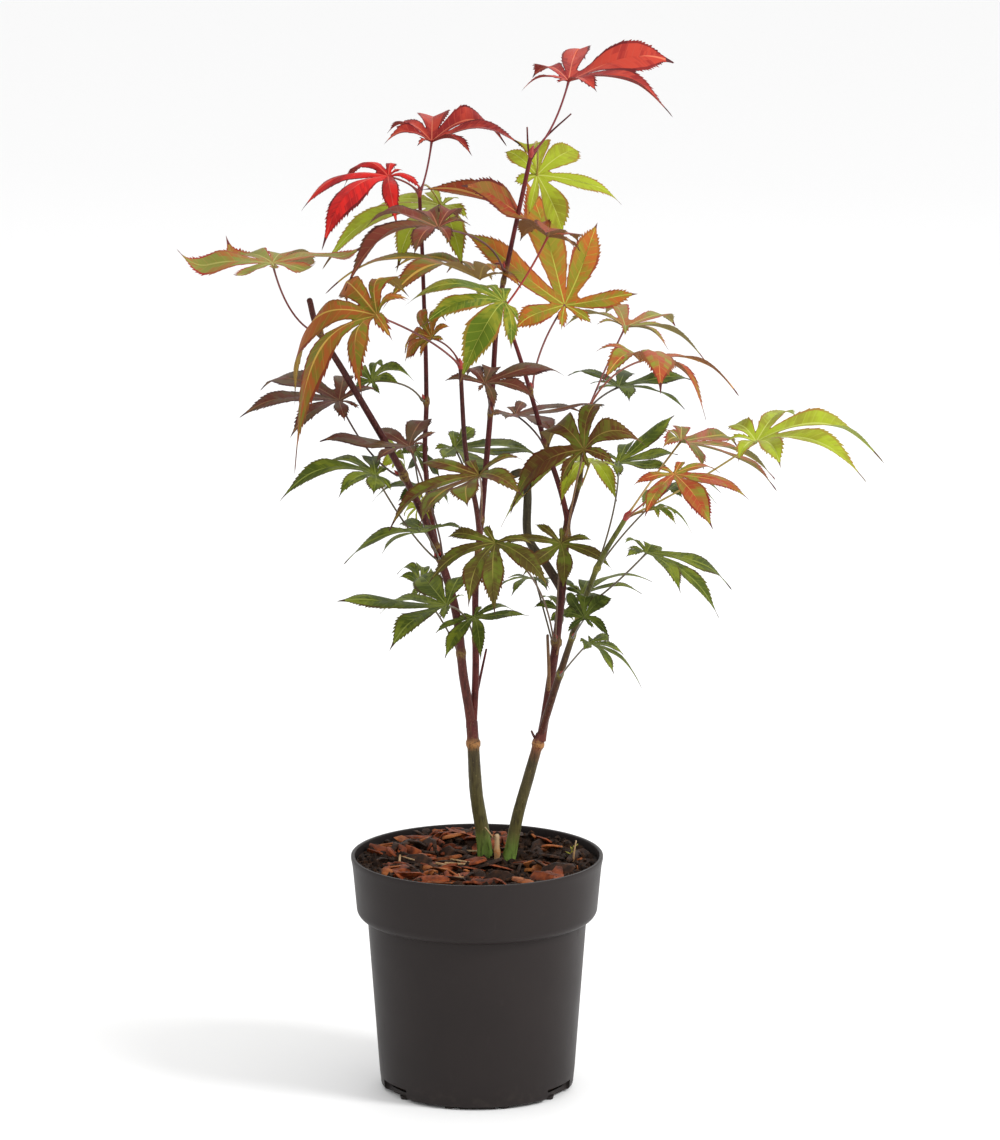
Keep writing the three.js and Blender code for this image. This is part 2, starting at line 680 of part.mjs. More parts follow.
function makeMass(mass, clearances) {
  const limb = LIMBS[mass.limb];
  const curve = limbCurve(limb);
  const along = curve.getTangentAt(mass.at);
  const joint = curve.getPointAt(mass.at);
  if (mass.at === 1) joint.addScaledVector(along, GAP + COLLAR.tipLength / 2);
  const outer = limbRadius(limb, mass.at) + GAP + COLLAR.wall;
  const reach = mass.at === 1 ? COLLAR.tipReach : outer - COLLAR.wall / 3;
  const parts = [makeCollar(outer, mass.at, joint, along)];
  for (const row of mass.leaves) {
    parts.push(makeStalk(stalkCurve(joint, along, reach, row)));
    parts.push(makeBlade(row));
  }
  return largest(joined(parts).subtract(clearances));
}

// ---------------------------------------------------------------- the whole plant

const plant = new THREE.Group();
const feet = ['trunk_left', 'trunk_right', 'stub_dead'].map((name) => LIMBS[name].path[0]);
plant.add(node('pot', makePot(), 'pot'));
plant.add(node('compost', makeCompost(feet), 'compost'));

for (const [name, limb] of Object.entries(LIMBS)) {
  plant.add(node(name, makeLimb(name), limb.bark));
}

const clearances = joined(Object.values(LIMBS).map((limb) => limbSolid(limb, GAP)));
for (const [name, mass] of Object.entries(MASSES)) {
  plant.add(node(name, makeMass(mass, clearances), mass.tint));
}

export default plant;
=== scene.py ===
"""A young potted Japanese maple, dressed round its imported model.

Lengths are in millimetres in the model's frame, except in Blender's meshes: +Z is up, -Y is
towards the front of the crown, and the origin is the centre of the pot's flat underside.
"""

import json
import logging
import math
from dataclasses import dataclass, field
from enum import Enum, IntEnum

import bmesh
import bpy
import numpy as np
from mathutils import Matrix, Vector, noise

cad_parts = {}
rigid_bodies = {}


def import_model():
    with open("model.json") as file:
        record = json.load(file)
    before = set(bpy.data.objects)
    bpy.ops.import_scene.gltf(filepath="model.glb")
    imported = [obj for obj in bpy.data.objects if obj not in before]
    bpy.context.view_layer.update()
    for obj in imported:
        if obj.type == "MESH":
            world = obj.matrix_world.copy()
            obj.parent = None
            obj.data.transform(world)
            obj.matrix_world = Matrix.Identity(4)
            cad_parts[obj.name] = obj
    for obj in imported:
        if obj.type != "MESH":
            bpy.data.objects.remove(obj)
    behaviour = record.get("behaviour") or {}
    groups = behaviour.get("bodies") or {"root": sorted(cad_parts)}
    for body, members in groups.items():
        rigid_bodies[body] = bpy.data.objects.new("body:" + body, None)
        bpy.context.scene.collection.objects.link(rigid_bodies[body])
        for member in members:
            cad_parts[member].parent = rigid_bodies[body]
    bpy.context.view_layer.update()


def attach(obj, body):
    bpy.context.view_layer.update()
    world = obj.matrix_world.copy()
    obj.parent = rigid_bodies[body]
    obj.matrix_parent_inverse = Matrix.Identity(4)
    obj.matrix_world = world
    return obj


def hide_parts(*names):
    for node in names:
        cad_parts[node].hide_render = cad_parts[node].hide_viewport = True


log = logging.getLogger("maple")
ops = bmesh.ops

MM = 0.001
BODY = "root"

# The gap between solids and the mean height of the compost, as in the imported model.
GAP = 0.35
GROUND = 169.0

# How much brighter than their base colour surfaces look in the studio.
GLARE = 1.42
LEAF_GLARE = 1.2

# The usual factors of a hash by a sine.
SEED_FACTOR, STEP_FACTOR, WAVE_FACTOR = 12.9898, 78.233, 43758.5453

# How close points lie that a weld merges, and edges that it drops, in metres.
WELD = 2e-6
SPECK = 1e-8

# The most sides of a hole that a weld closes.
HOLE_SIDES = 6

# The inset of a tube's caps, the radius past which a point isn't on the inset, and how far a
# rounding of 1 pushes the inset out, all in radii.
CAP_INSET = 0.35
CAP_RIM = 0.9
CAP_PUSH = 0.6

Array = np.ndarray
Material = bpy.types.Material
Mesh = bpy.types.Mesh
Object = bpy.types.Object
Shape = bmesh.types.BMesh
Socket = bpy.types.NodeSocket
Rgb = tuple[float, float, float]
Rgba = tuple[float, float, float, float]
Triple = tuple[float, float, float]
Pair = tuple[float, float]
Pairs = tuple[Pair, ...]
Spots = list[Pair]


# ------------ small helpers


def chance(seed: float, step: float) -> float:
    """Gives a thing's number from 0 up to 1, by its seed and a step, the same on every run."""
    wave = math.sin(seed * SEED_FACTOR + step * STEP_FACTOR) * WAVE_FACTOR
    return wave - math.floor(wave)


def bearing(seed: float, step: float) -> float:
    """Gives a repeatable bearing in radians."""
    return 2 * math.pi * chance(seed, step)


def polar(away: float, turn: float) -> Pair:
    """Gives the spot at a distance and a bearing in radians."""
    return away * math.cos(turn), away * math.sin(turn)


def soft_noise(x: float, y: float, z: float) -> float:
    """Gives soft noise at a spot, from about -1 to 1."""
    return noise.noise(Vector((x, y, z)))


def linear(colour: Rgb, glare: float = GLARE) -> Rgba:
    """Turns the colour that a surface shows in the studio into its linear base colour.

    Args:
        colour: Red, green and blue from 0 to 255, as lit.
        glare: How much brighter than its base colour the surface looks there.

    Returns:
        Linear red, green, blue and an alpha of 1.
    """
    parts = [part / 255 for part in colour]
    low = [part / 12.92 if part <= 0.04045 else ((part + 0.055) / 1.055) ** 2.4 for part in parts]
    return (low[0] / glare, low[1] / glare, low[2] / glare, 1.0)


def blend(first: Rgb, second: Rgb, share: float) -> Rgb:
    """Mixes two screen colours, by the share of the second."""
    return tuple(a + (b - a) * share for a, b in zip(first, second))


def unit(vector: Array) -> Array:
    """Scales a vector to a length of 1."""
    return vector / max(float(np.linalg.norm(vector)), 1e-12)


def smooth(low: float, high: float, values: Array | float) -> Array:
    """Rises smoothly from 0 at one value to 1 at another."""
    share = np.clip((np.asarray(values, float) - low) / (high - low), 0, 1)
    return share * share * (3 - 2 * share)


def clear_scene() -> None:
    """Removes the objects that Blender starts with."""
    for thing in list(bpy.data.objects):
        bpy.data.objects.remove(thing)


def linked(name: str, data: bpy.types.ID) -> Object:
    """Links a mesh, a light or a camera into the scene as an object at the origin.

    Args:
        name: The object's name.
        data: What it shows.

    Returns:
        The new object.
    """
    thing = bpy.data.objects.new(name, data)
    bpy.context.scene.collection.objects.link(thing)
    return thing


def object_from(name: str, mesh: Mesh, materials: list[Material]) -> Object:
    """Links a mesh into the scene as an object at the origin.

    Args:
        name: The piece's name.
        mesh: Its mesh, in metres, in place.
        materials: Its materials, in the order of its faces' numbers.

    Returns:
        The new object.
    """
    for material in materials:
        mesh.materials.append(material)
    return linked(name, mesh)


def bare_object(name: str, shape: Shape) -> Object:
    """Turns a shape into an object without a material and frees it.

    Args:
        name: The object's name.
        shape: Its shape, in metres.

    Returns:
        The new object.
    """
    mesh = bpy.data.meshes.new(name)
    shape.to_mesh(mesh)
    shape.free()
    return linked(name, mesh)


def dress(piece: Object, slot: str, *nodes: str) -> None:
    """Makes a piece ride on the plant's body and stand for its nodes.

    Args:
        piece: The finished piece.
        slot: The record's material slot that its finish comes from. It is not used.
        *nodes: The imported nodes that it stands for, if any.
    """
    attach(piece, BODY)
    if nodes:
        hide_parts(*nodes)
    piece.data.calc_loop_triangles()
    log.info("%s: %d triangles", piece.name, len(piece.data.loop_triangles))


# ------------ shader kit


class Value:
    """A number in a shader that takes Python arithmetic."""

    def __init__(self, shader: "Shader", socket: Socket) -> None:
        """Wraps an output socket of a shader's tree."""
        self.shader = shader
        self.socket = socket

    def _maths(self, operation: str, *operands: "Value | float") -> "Value":
        """Adds a Math node and returns its result."""
        inputs = dict(enumerate(operands))
        return self.shader.value("ShaderNodeMath", {"operation": operation}, inputs)

    def __add__(self, other: "Value | float") -> "Value":
        """Adds."""
        return self._maths("ADD", self, other)

    __radd__ = __add__

    def __sub__(self, other: "Value | float") -> "Value":
        """Subtracts."""
        return self._maths("SUBTRACT", self, other)

    def __mul__(self, other: "Value | float") -> "Value":
        """Multiplies."""
        return self._maths("MULTIPLY", self, other)

    def between(self, low: float, high: float) -> "Value":
        """Rises smoothly from 0 at one value to 1 at another."""
        settings = {"interpolation_type": "SMOOTHSTEP"}
        return self.shader.value("ShaderNodeMapRange", settings, {"Value": self, 1: low, 2: high})


class Shader:
    """A material's node tree, built with one method for every kind of node."""

    def __init__(self, name: str) -> None:
        """Starts an empty material with its output and its main shader.

        Args:
            name: The material's name.
        """
        self.material = bpy.data.materials.new(name)
        self.material.use_nodes = True
        self.tree = self.material.node_tree
        self.tree.nodes.clear()
        self.surface = self.node("ShaderNodeBsdfPrincipled", {}, {})
        output = self.node("ShaderNodeOutputMaterial", {}, {})
        self.tree.links.new(self.surface.outputs[0], output.inputs["Surface"])
        self._place = self.node("ShaderNodeTexCoord", {}, {}).outputs["Object"]

    def node(self, kind: str, settings: dict, inputs: dict) -> bpy.types.Node:
        """Adds a node.

        Args:
            kind: The node's type.
            settings: Its own settings, set first. "stops" gives a ramp's places and colours.
            inputs: The values or links of its sockets, by name or number.

        Returns:
            The new node.
        """
        node = self.tree.nodes.new(kind)
        for key, setting in settings.items():
            if key == "stops":
                self._set_stops(node.color_ramp, setting)
            else:
                setattr(node, key, setting)
        for key, value in inputs.items():
            self.feed(node.inputs[key], value)
        return node

    def feed(self, socket: Socket, value: object) -> None:
        """Links or sets an input.

        Args:
            socket: The input.
            value: A wrapped number or a socket to link, or a plain value.
        """
        if isinstance(value, Value):
            self.tree.links.new(value.socket, socket)
        elif isinstance(value, Socket):
            self.tree.links.new(value, socket)
        else:
            socket.default_value = value

    @staticmethod
    def _set_stops(ramp: bpy.types.ColorRamp, stops: list[tuple[float, Rgb]]) -> None:
        """Gives a colour ramp its stops.

        Args:
            ramp: The ramp.
            stops: The place and colour of each.
        """
        while len(ramp.elements) < len(stops):
            ramp.elements.new(0.5)
        for element, (place, colour) in zip(ramp.elements, stops):
            element.position = place
            element.color = linear(colour)

    def value(self, kind: str, settings: dict, inputs: dict, output: int | str = 0) -> Value:
        """Adds a node and wraps one of its outputs as a number."""
        return Value(self, self.node(kind, settings, inputs).outputs[output])

    def place(self, stretch: Rgb = (1, 1, 1)) -> Socket:
        """Gives the object's own coordinates, in metres, stretched by a factor on each axis."""
        inputs = {"Vector": self._place, "Scale": stretch}
        return self.node("ShaderNodeMapping", {}, inputs).outputs[0]

    def height(self) -> Value:
        """Gives the height above the pot's underside, in metres."""
        return self.value("ShaderNodeSeparateXYZ", {}, {0: self._place}, "Z")

    def grain(self, size_mm: float, detail: float = 3, stretch: Rgb = (1, 1, 1)) -> Value:
        """Gives soft noise about 0.5 in lumps of a size, which a small stretch draws out."""
        inputs = {"Vector": self.place(stretch), "Scale": 1 / (size_mm * MM), "Detail": detail}
        return self.value("ShaderNodeTexNoise", {}, inputs)

    def attribute(self, name: str) -> Value:
        """Gives a number that the mesh carries on its points."""
        return self.value("ShaderNodeAttribute", {"attribute_name": name}, {}, "Fac")

    def ramp(self, value: Value, stops: list[tuple[float, Rgb]]) -> Socket:
        """Turns a number into a colour by stops of screen colours."""
        return self.node("ShaderNodeValToRGB", {"stops": stops}, {0: value}).outputs[0]

    def mix(self, share: Value | float, first: object, second: object) -> Socket:
        """Mixes two colours, each a socket or a screen colour.

        Args:
            share: The share of the second.
            first: The colour at 0.
            second: The colour at 1.

        Returns:
            The mixed colour's socket.
        """
        ready = [c if isinstance(c, Socket) else linear(c) for c in (first, second)]
        inputs = {0: share, 6: ready[0], 7: ready[1]}
        return self.node("ShaderNodeMix", {"data_type": "RGBA"}, inputs).outputs[2]

    def bump(self, height: Value, depth_mm: float) -> Socket:
        """Turns a height from 0 to 1 into a normal, for relief of a depth."""
        inputs = {"Height": height, "Distance": depth_mm * MM, "Strength": 1.0}
        return self.node("ShaderNodeBump", {}, inputs).outputs[0]

    def finish(self, **inputs: object) -> Material:
        """Sets the main shader's sockets.

        Args:
            **inputs: What feeds each socket, named with _ for a space.

        Returns:
            The material.
        """
        for key, value in inputs.items():
            self.feed(self.surface.inputs[key.replace("_", " ")], value)
        return self.material


# ------------ finishes


class Zone(IntEnum):
    """The parts of a leaf that have a colour of their own, in the order of its materials."""

    BODY = 0
    NEAR = 1
    MIDDLE = 2
    FAR = 3
    FLUSH = 4
    EDGE = 5
    RIM = 6
    VEIN = 7
    SIDE_VEIN = 8
    TIP = 9
    UNDER = 10
    UNDER_VEIN = 11


DRY_TIP: Rgb = (72, 58, 60)
BUD_RED: Rgb = (178, 52, 44)


@dataclass(frozen=True)
class LeafFinish:
    """The plain colours of one kind of leaf, dealt out over its zones.

    Attributes:
        slot: The record's slot that the leaf's finish comes from.
        body: The blade's main colour.
        flush: The colour of its patches.
        edge: The colour along its margin.
        vein: The colour of its midribs.
        under: The colour of its underside.
        stalk: The colour of its stalk.
        flushed: The share of the blade that the patches take.
        edged: The share of the margin that has the edge's colour.
    """

    slot: str
    body: Rgb
    flush: Rgb
    edge: Rgb
    vein: Rgb
    under: Rgb
    stalk: Rgb
    flushed: float = 0.4
    edged: float = 0.6

    def colours(self) -> dict[Zone, Rgb]:
        """Mixes the colours of a leaf.

        Returns:
            The colour of each zone.
        """
        return {
            Zone.BODY: self.body,
            Zone.NEAR: blend(self.body, self.flush, 0.25),
            Zone.MIDDLE: blend(self.body, self.flush, 0.5),
            Zone.FAR: blend(self.body, self.flush, 0.75),
            Zone.FLUSH: self.flush,
            Zone.EDGE: self.edge,
            Zone.RIM: blend(blend(self.body, self.flush, 0.6), self.edge, 0.5),
            Zone.VEIN: blend(self.body, self.vein, 0.8),
            Zone.SIDE_VEIN: blend(blend(self.body, self.flush, 0.4), self.vein, 0.24),
            Zone.TIP: blend(self.edge, DRY_TIP, 0.5),
            Zone.UNDER: self.under,
            Zone.UNDER_VEIN: blend(self.under, self.vein, 0.5),
        }

    def materials(self, name: str) -> list[Material]:
        """Makes one plain material for each zone.

        Args:
            name: The tint's name.

        Returns:
            The materials in the order of the zones.
        """
        made = []
        for zone, colour in self.colours().items():
            shader = Shader(f"leaf_{name}_{zone.name.lower()}")
            dull = 0.7 if zone >= Zone.UNDER else 0.5
            made.append(shader.finish(
                Base_Color=linear(colour, LEAF_GLARE), Roughness=dull, Specular_IOR_Level=0.06))
        return made


class Tint(Enum):
    """The kinds of leaf that the plant bears, from its red tips down to its green foot."""

    RED = LeafFinish("leaf_red", (188, 66, 51), (146, 42, 40), (102, 34, 36), (222, 128, 96), (142, 56, 52),
        (146, 50, 56), 0.45, 0.6)
    SCARLET = LeafFinish("leaf_red", (210, 42, 38), (158, 32, 34), (104, 30, 32), (220, 104, 86),
        (150, 54, 54), (146, 66, 60), 0.4, 0.5)
    RUST = LeafFinish("leaf_orange", (150, 62, 40), (134, 98, 44), (96, 40, 32), (196, 156, 84),
        (140, 98, 64), (186, 60, 46), 0.42, 0.5)
    RUSSET = LeafFinish("leaf_orange", (168, 78, 46), (140, 138, 50), (130, 48, 36), (220, 170, 90),
        (156, 106, 70), (180, 84, 56), 0.52, 0.5)
    AMBER = LeafFinish("leaf_orange", (144, 136, 42), (184, 104, 44), (150, 72, 42), (196, 196, 84),
        (150, 134, 66), (130, 64, 58), 0.45, 0.35)
    COPPER = LeafFinish("leaf_orange", (164, 90, 40), (122, 116, 36), (128, 58, 34), (204, 176, 84),
        (150, 120, 64), (136, 62, 54), 0.5, 0.45)
    TAWNY = LeafFinish("leaf_orange", (136, 136, 62), (170, 104, 56), (160, 58, 48), (186, 180, 104),
        (150, 134, 84), (130, 60, 56), 0.35, 0.6)
    BLUSH = LeafFinish("leaf_olive", (116, 112, 46), (166, 96, 68), (150, 62, 50), (188, 172, 96),
        (134, 124, 70), (186, 150, 80), 0.4, 0.5)
    MAHOGANY = LeafFinish("leaf_purple", (122, 58, 44), (106, 84, 52), (74, 36, 30), (182, 122, 88),
        (130, 90, 72), (112, 66, 62), 0.4, 0.5)
    PLUM = LeafFinish("leaf_purple", (104, 56, 44), (98, 78, 54), (70, 36, 32), (150, 114, 82),
        (112, 90, 74), (104, 76, 70), 0.45, 0.45)
    OLIVE = LeafFinish("leaf_olive", (90, 76, 36), (104, 112, 40), (88, 58, 32), (152, 146, 68),
        (108, 102, 60), (112, 86, 62), 0.45, 0.4)
    BRONZE = LeafFinish("leaf_olive", (104, 66, 38), (112, 118, 42), (96, 52, 32), (166, 146, 72),
        (118, 100, 62), (146, 102, 58), 0.5, 0.45)
    GREEN = LeafFinish("leaf_green", (76, 88, 30), (118, 128, 40), (78, 66, 32), (148, 156, 74),
        (118, 128, 66), (108, 94, 72), 0.4, 0.35)
    DARK = LeafFinish("leaf_green", (60, 70, 26), (92, 104, 36), (60, 54, 30), (126, 134, 68),
        (102, 112, 62), (96, 84, 72), 0.4, 0.4)
    FRESH = LeafFinish("leaf_green", (90, 108, 28), (146, 142, 42), (142, 98, 42), (178, 180, 84),
        (132, 142, 66), (140, 104, 62), 0.4, 0.3)
    LIME = LeafFinish("leaf_lime", (166, 180, 48), (150, 150, 46), (160, 122, 56), (202, 208, 112),
        (160, 170, 84), (190, 164, 84), 0.35, 0.5)

    @property
    def label(self) -> str:
        """The tint's name in lower case."""
        return self.name.lower()


@dataclass(frozen=True)
class BarkFinish:
    """Smooth young bark that changes colour from the root to the tip of its limb.

    Attributes:
        slot: The record's slot.
        stops: Its colours at shares of the limb's length.
        joint: The colour of its old leaf joints.
        bloom: The colour of its thin pale streaks.
        shade: The colour of its dark streaks.
        sheen: Its roughness.
    """

    slot: str
    stops: tuple[tuple[float, Rgb], ...]
    joint: Rgb
    bloom: Rgb
    shade: Rgb = (34, 22, 20)
    sheen: float = 0.42

    def material(self, name: str) -> Material:
        """Makes the bark's material.

        Args:
            name: The material's name.

        Returns:
            The material.
        """
        shader = Shader(name)
        share = shader.attribute("share") + (shader.grain(9, 3) - 0.5) * 0.1
        colour = shader.ramp(share, list(self.stops))
        streak = shader.grain(1.3, 4, (1, 1, 0.1))
        colour = shader.mix(streak.between(0.56, 0.8) * 0.5, colour, self.bloom)
        colour = shader.mix(streak.between(0.5, 0.28) * 0.6, colour, self.shade)
        patch = shader.grain(5, 4, (1, 1, 0.45)).between(0.54, 0.68)
        colour = shader.mix(patch * 0.4, colour, self.shade)
        speck = shader.grain(0.9, 1, (1, 1, 0.6)).between(0.66, 0.74)
        colour = shader.mix(speck * 0.5, colour, blend(self.bloom, (190, 170, 130), 0.4))
        joint = shader.attribute("joint") * shader.grain(1.6, 3).between(0.3, 0.6)
        colour = shader.mix(joint, colour, self.joint)
        relief = streak * 0.7 + shader.grain(0.5, 2) * 0.3
        rough = self.sheen + (streak - 0.5) * 0.3
        return shader.finish(
            Base_Color=colour, Roughness=rough, Normal=shader.bump(relief, 0.25),
            Specular_IOR_Level=0.16)


class Bark(Enum):
    """The barks of the plant."""

    GREEN = BarkFinish("green_bark", ( (0.0, (128, 164, 74)), (0.14, (118, 144, 66)), (0.27, (98, 92, 50)),
        (0.8, (86, 74, 48)), (0.86, (120, 84, 56)), (0.91, (112, 52, 48)), (1.0, (104, 46, 44))),
        (196, 140, 84), (130, 118, 72), (44, 34, 24))
    PRUNED = BarkFinish("green_bark", ((0.0, (78, 54, 44)), (0.35, (76, 66, 44)), (1.0, (72, 68, 48))),
        (140, 98, 56), (112, 102, 70))
    MAROON = BarkFinish("red_bark", ((0.0, (116, 50, 44)), (0.3, (92, 38, 38)), (0.7, (96, 36, 38)), (1.0,
        (118, 40, 42))), (146, 120, 58), (142, 80, 74))
    BROWN = BarkFinish("red_bark", ((0.0, (112, 56, 46)), (0.25, (90, 42, 38)), (0.7, (84, 40, 38)), (1.0,
        (90, 44, 38))), (142, 116, 58), (132, 82, 70))
    LEAFY = BarkFinish("red_bark", ((0.0, (94, 46, 40)), (0.35, (84, 58, 38)), (0.7, (98, 96, 44)), (1.0,
        (122, 126, 54))), (144, 136, 62), (132, 116, 62))
    DEAD = BarkFinish("dead_wood", ((0.0, (142, 104, 68)), (0.6, (136, 102, 72)), (1.0, (108, 82, 64))),
        (186, 126, 74), (186, 156, 116), (88, 64, 48), 0.7)
    STUB = BarkFinish("dead_wood", ((0.0, (170, 128, 84)), (0.6, (206, 166, 118)), (1.0, (216, 186, 146))),
        (190, 126, 74), (228, 206, 170), (132, 92, 60), 0.7)


@dataclass(frozen=True)
class PlasticFinish:
    """Satin dark grey plastic, moulded, with a fine grain and a few scuffs.

    Attributes:
        colour: Its main colour.
        cloud: The colour of its faint broad clouds.
        scuff: The colour of its faint scuffs.
        dust: The colour of the dust near its foot.
    """

    colour: Rgb = (50, 44, 43)
    cloud: Rgb = (45, 40, 39.5)
    scuff: Rgb = (60, 54, 53)
    dust: Rgb = (80, 72, 66)

    def material(self) -> Material:
        """Makes the pot's material.

        Returns:
            The material.
        """
        shader = Shader("pot_plastic")
        cloud = shader.grain(46, 3)
        colour = shader.mix(cloud.between(0.35, 0.7) * 0.35, self.colour, self.cloud)
        scuffs = shader.grain(5, 5, (1, 1, 0.25)).between(0.62, 0.78)
        colour = shader.mix(scuffs * 0.3, colour, self.scuff)
        low = shader.height().between(0.022, 0.0) * shader.grain(7, 4).between(0.45, 0.7)
        colour = shader.mix(low * 0.25, colour, self.dust)
        grain = shader.grain(0.45, 2)
        rough = 0.44 + (cloud - 0.5) * 0.18 + scuffs * 0.1
        return shader.finish(
            Base_Color=colour, Roughness=rough, Normal=shader.bump(grain, 0.03),
            Specular_IOR_Level=0.13)


@dataclass(frozen=True)
class EarthFinish:
    """A matt natural finish of three mottled colours, for compost and what lies on it.

    Attributes:
        dark: The colour of its darkest mottling.
        middle: Its main colour.
        light: The colour of its lighter specks.
        lump: The size of its mottling.
        relief: The depth of its fine relief.
        dull: Its roughness.
    """

    dark: Rgb
    middle: Rgb
    light: Rgb
    lump: float = 3.0
    relief: float = 0.4
    dull: float = 0.72

    def material(self, name: str) -> Material:
        """Makes the finish's material.

        Args:
            name: The material's name.

        Returns:
            The material.
        """
        shader = Shader(name)
        mottle = shader.grain(self.lump, 5)
        colour = shader.ramp(mottle, [(0.3, self.dark), (0.5, self.middle), (0.72, self.light)])
        fine = shader.grain(self.lump * 0.25, 4)
        return shader.finish(
            Base_Color=colour, Roughness=self.dull + (fine - 0.5) * 0.3,
            Normal=shader.bump(fine, self.relief), Specular_IOR_Level=0.16)


class Earth(Enum):
    """What lies in the pot."""

    SOIL = EarthFinish((20, 12, 8), (42, 26, 16), (80, 52, 32), 3.5, 0.6, 0.85)
    RED_CHIP = EarthFinish((46, 20, 10), (124, 56, 24), (170, 84, 38), 6.0, 0.4, 0.65)
    ORANGE_CHIP = EarthFinish((84, 42, 20), (156, 84, 38), (200, 126, 72), 7.0, 0.35, 0.65)
    BROWN_CHIP = EarthFinish((28, 17, 11), (54, 33, 21), (88, 56, 36), 6.0, 0.45, 0.7)
    STRAW = EarthFinish((150, 114, 78), (188, 150, 106), (216, 188, 150), 4.0, 0.1)
    ROUND_CHIP = EarthFinish((92, 52, 22), (148, 86, 36), (182, 116, 56), 8.0, 0.3)
    SPRIG = EarthFinish((110, 112, 36), (154, 152, 54), (184, 172, 84), 3.0, 0.1)


# ------------ lines and tubes


class Line:
    """A smooth line, measured along its length."""

    def __init__(self, spots: Array) -> None:
        """Measures a line given by close points.

        Args:
            spots: The points, one to a row.
        """
        run = np.concatenate([[0], np.cumsum(np.linalg.norm(np.diff(spots, axis=0), axis=1))])
        self.spots = spots
        self.length = float(run[-1])
        self._shares = run / run[-1]
        self._ways = np.gradient(spots, run, axis=0)

    @classmethod
    def through(cls, path: list[tuple], samples: int = 48) -> "Line":
        """Makes a centripetal curve through points.

        Args:
            path: The points that it passes through.
            samples: The number of straight steps between two of them.

        Returns:
            The line.
        """
        points = np.array(path, float)
        ends = [2 * points[0] - points[1], *points, 2 * points[-1] - points[-2]]
        spots = [points[:1]]
        share = np.linspace(0, 1, samples + 1)[1:, None]
        for before, start, end, after in zip(ends, ends[1:], ends[2:], ends[3:]):
            gaps = [np.sqrt(np.linalg.norm(b - a))
                    for a, b in ((before, start), (start, end), (end, after))]
            rise = end - start
            first = gaps[1] * ((start - before) / gaps[0] - (end - before) / (gaps[0] + gaps[1])
                               + rise / gaps[1])
            last = gaps[1] * (rise / gaps[1] - (after - start) / (gaps[1] + gaps[2])
                              + (after - end) / gaps[2])
            curve = (3 * rise - 2 * first - last) * share ** 2 + (first + last - 2 * rise) * share ** 3
            spots.append(start + first * share + curve)
        return cls(np.vstack(spots))

    @classmethod
    def bow(cls, foot: Array, bend: Array, tip: Array) -> "Line":
        """Makes a curve that leaves its foot towards a bend and ends at a tip."""
        share = np.linspace(0, 1, 41)[:, None]
        return cls(foot * (1 - share) ** 2 + bend * 2 * share * (1 - share) + tip * share ** 2)

    def at(self, shares: Array | float) -> Array:
        """Gives the points at shares of the length."""
        return np.stack([np.interp(shares, self._shares, axis) for axis in self.spots.T], -1)

    def along(self, shares: Array | float) -> Array:
        """Gives the unit directions of the line at shares of the length."""
        ways = np.stack([np.interp(shares, self._shares, axis) for axis in self._ways.T], -1)
        return ways / np.linalg.norm(ways, axis=-1, keepdims=True)

    def frames(self, shares: Array) -> tuple[Array, Array]:
        """Gives two unit vectors across the line at each share, without a twist between them.

        Args:
            shares: Shares of the length.

        Returns:
            The first vectors and the second ones, one to a row.
        """
        ways = self.along(shares)
        normal = np.cross(ways[0], (0.3, 0.9, 0.31))
        normals = []
        for way in ways:
            normal = unit(normal - way * float(normal @ way))
            normals.append(normal)
        normals = np.array(normals)
        return normals, np.cross(ways, normals)


def tube(line: Line, radii: Array, sides: int, ends: Pair = (0.5, 0.5)) -> Shape:
    """Bends a subdivided cylinder along a line.

    Args:
        line: The line of its middle.
        radii: Its radius at even steps of its length, or one row of radii for each step.
        sides: The number of its sides.
        ends: How far each end is rounded out, in radii.

    Returns:
        A closed mesh, with each vertex's share of the length in a layer "share".
    """
    steps = len(radii) - 1
    shape = bmesh.new()
    ops.create_cone(shape, cap_ends=True, segments=sides, radius1=1, radius2=1, depth=1)
    uprights = [e for e in shape.edges if abs(e.verts[0].co.z - e.verts[1].co.z) > 0.5]
    ops.subdivide_edges(shape, edges=uprights, cuts=steps - 1, use_grid_fill=True)
    for cap in [f for f in shape.faces if abs(f.normal.z) > 0.9]:
        ops.inset_individual(shape, faces=[cap], thickness=CAP_INSET, depth=0)
    rows = np.array([v.co.z for v in shape.verts]) + 0.5
    around = np.array([(v.co.x, v.co.y) for v in shape.verts])
    index = np.clip(np.rint(rows * steps).astype(int), 0, steps)
    shares = np.linspace(0, 1, steps + 1)
    normals, binormals = line.frames(shares)
    spots, ways = line.at(shares), line.along(shares)
    if radii.ndim == 2:
        turn = np.rint(np.arctan2(around[:, 1], around[:, 0]) / (2 * math.pi) * sides).astype(int)
        size = radii[index, turn % sides]
    else:
        size = radii[index]
    inset = np.hypot(around[:, 0], around[:, 1]) < CAP_RIM
    push = np.where(inset & (index == 0), -ends[0], 0) + np.where(inset & (index == steps), ends[1], 0)
    across = normals[index] * around[:, :1] + binormals[index] * around[:, 1:]
    placed = spots[index] + across * size[:, None] + ways[index] * (push * size * CAP_PUSH)[:, None]
    layer = shape.verts.layers.float.new("share")
    for vert, spot, row in zip(shape.verts, placed, rows):
        vert.co = spot
        vert[layer] = float(np.clip(row, 0, 1))
    ops.recalc_face_normals(shape, faces=shape.faces)
    return shape


def bevel(shape: Shape, offset: float, segments: int, clamp: bool = False) -> None:
    """Rounds all the edges of a shape, less where a clamp finds no room."""
    ops.bevel(shape, geom=shape.edges[:], offset=offset, segments=segments, profile=0.5,
                    offset_type="OFFSET", affect="EDGES", material=-1, clamp_overlap=clamp)


def tube_shares(shape: Shape) -> Array:
    """Gives the share of a tube's length at each of its vertices."""
    layer = shape.verts.layers.float["share"]
    return np.array([vert[layer] for vert in shape.verts])


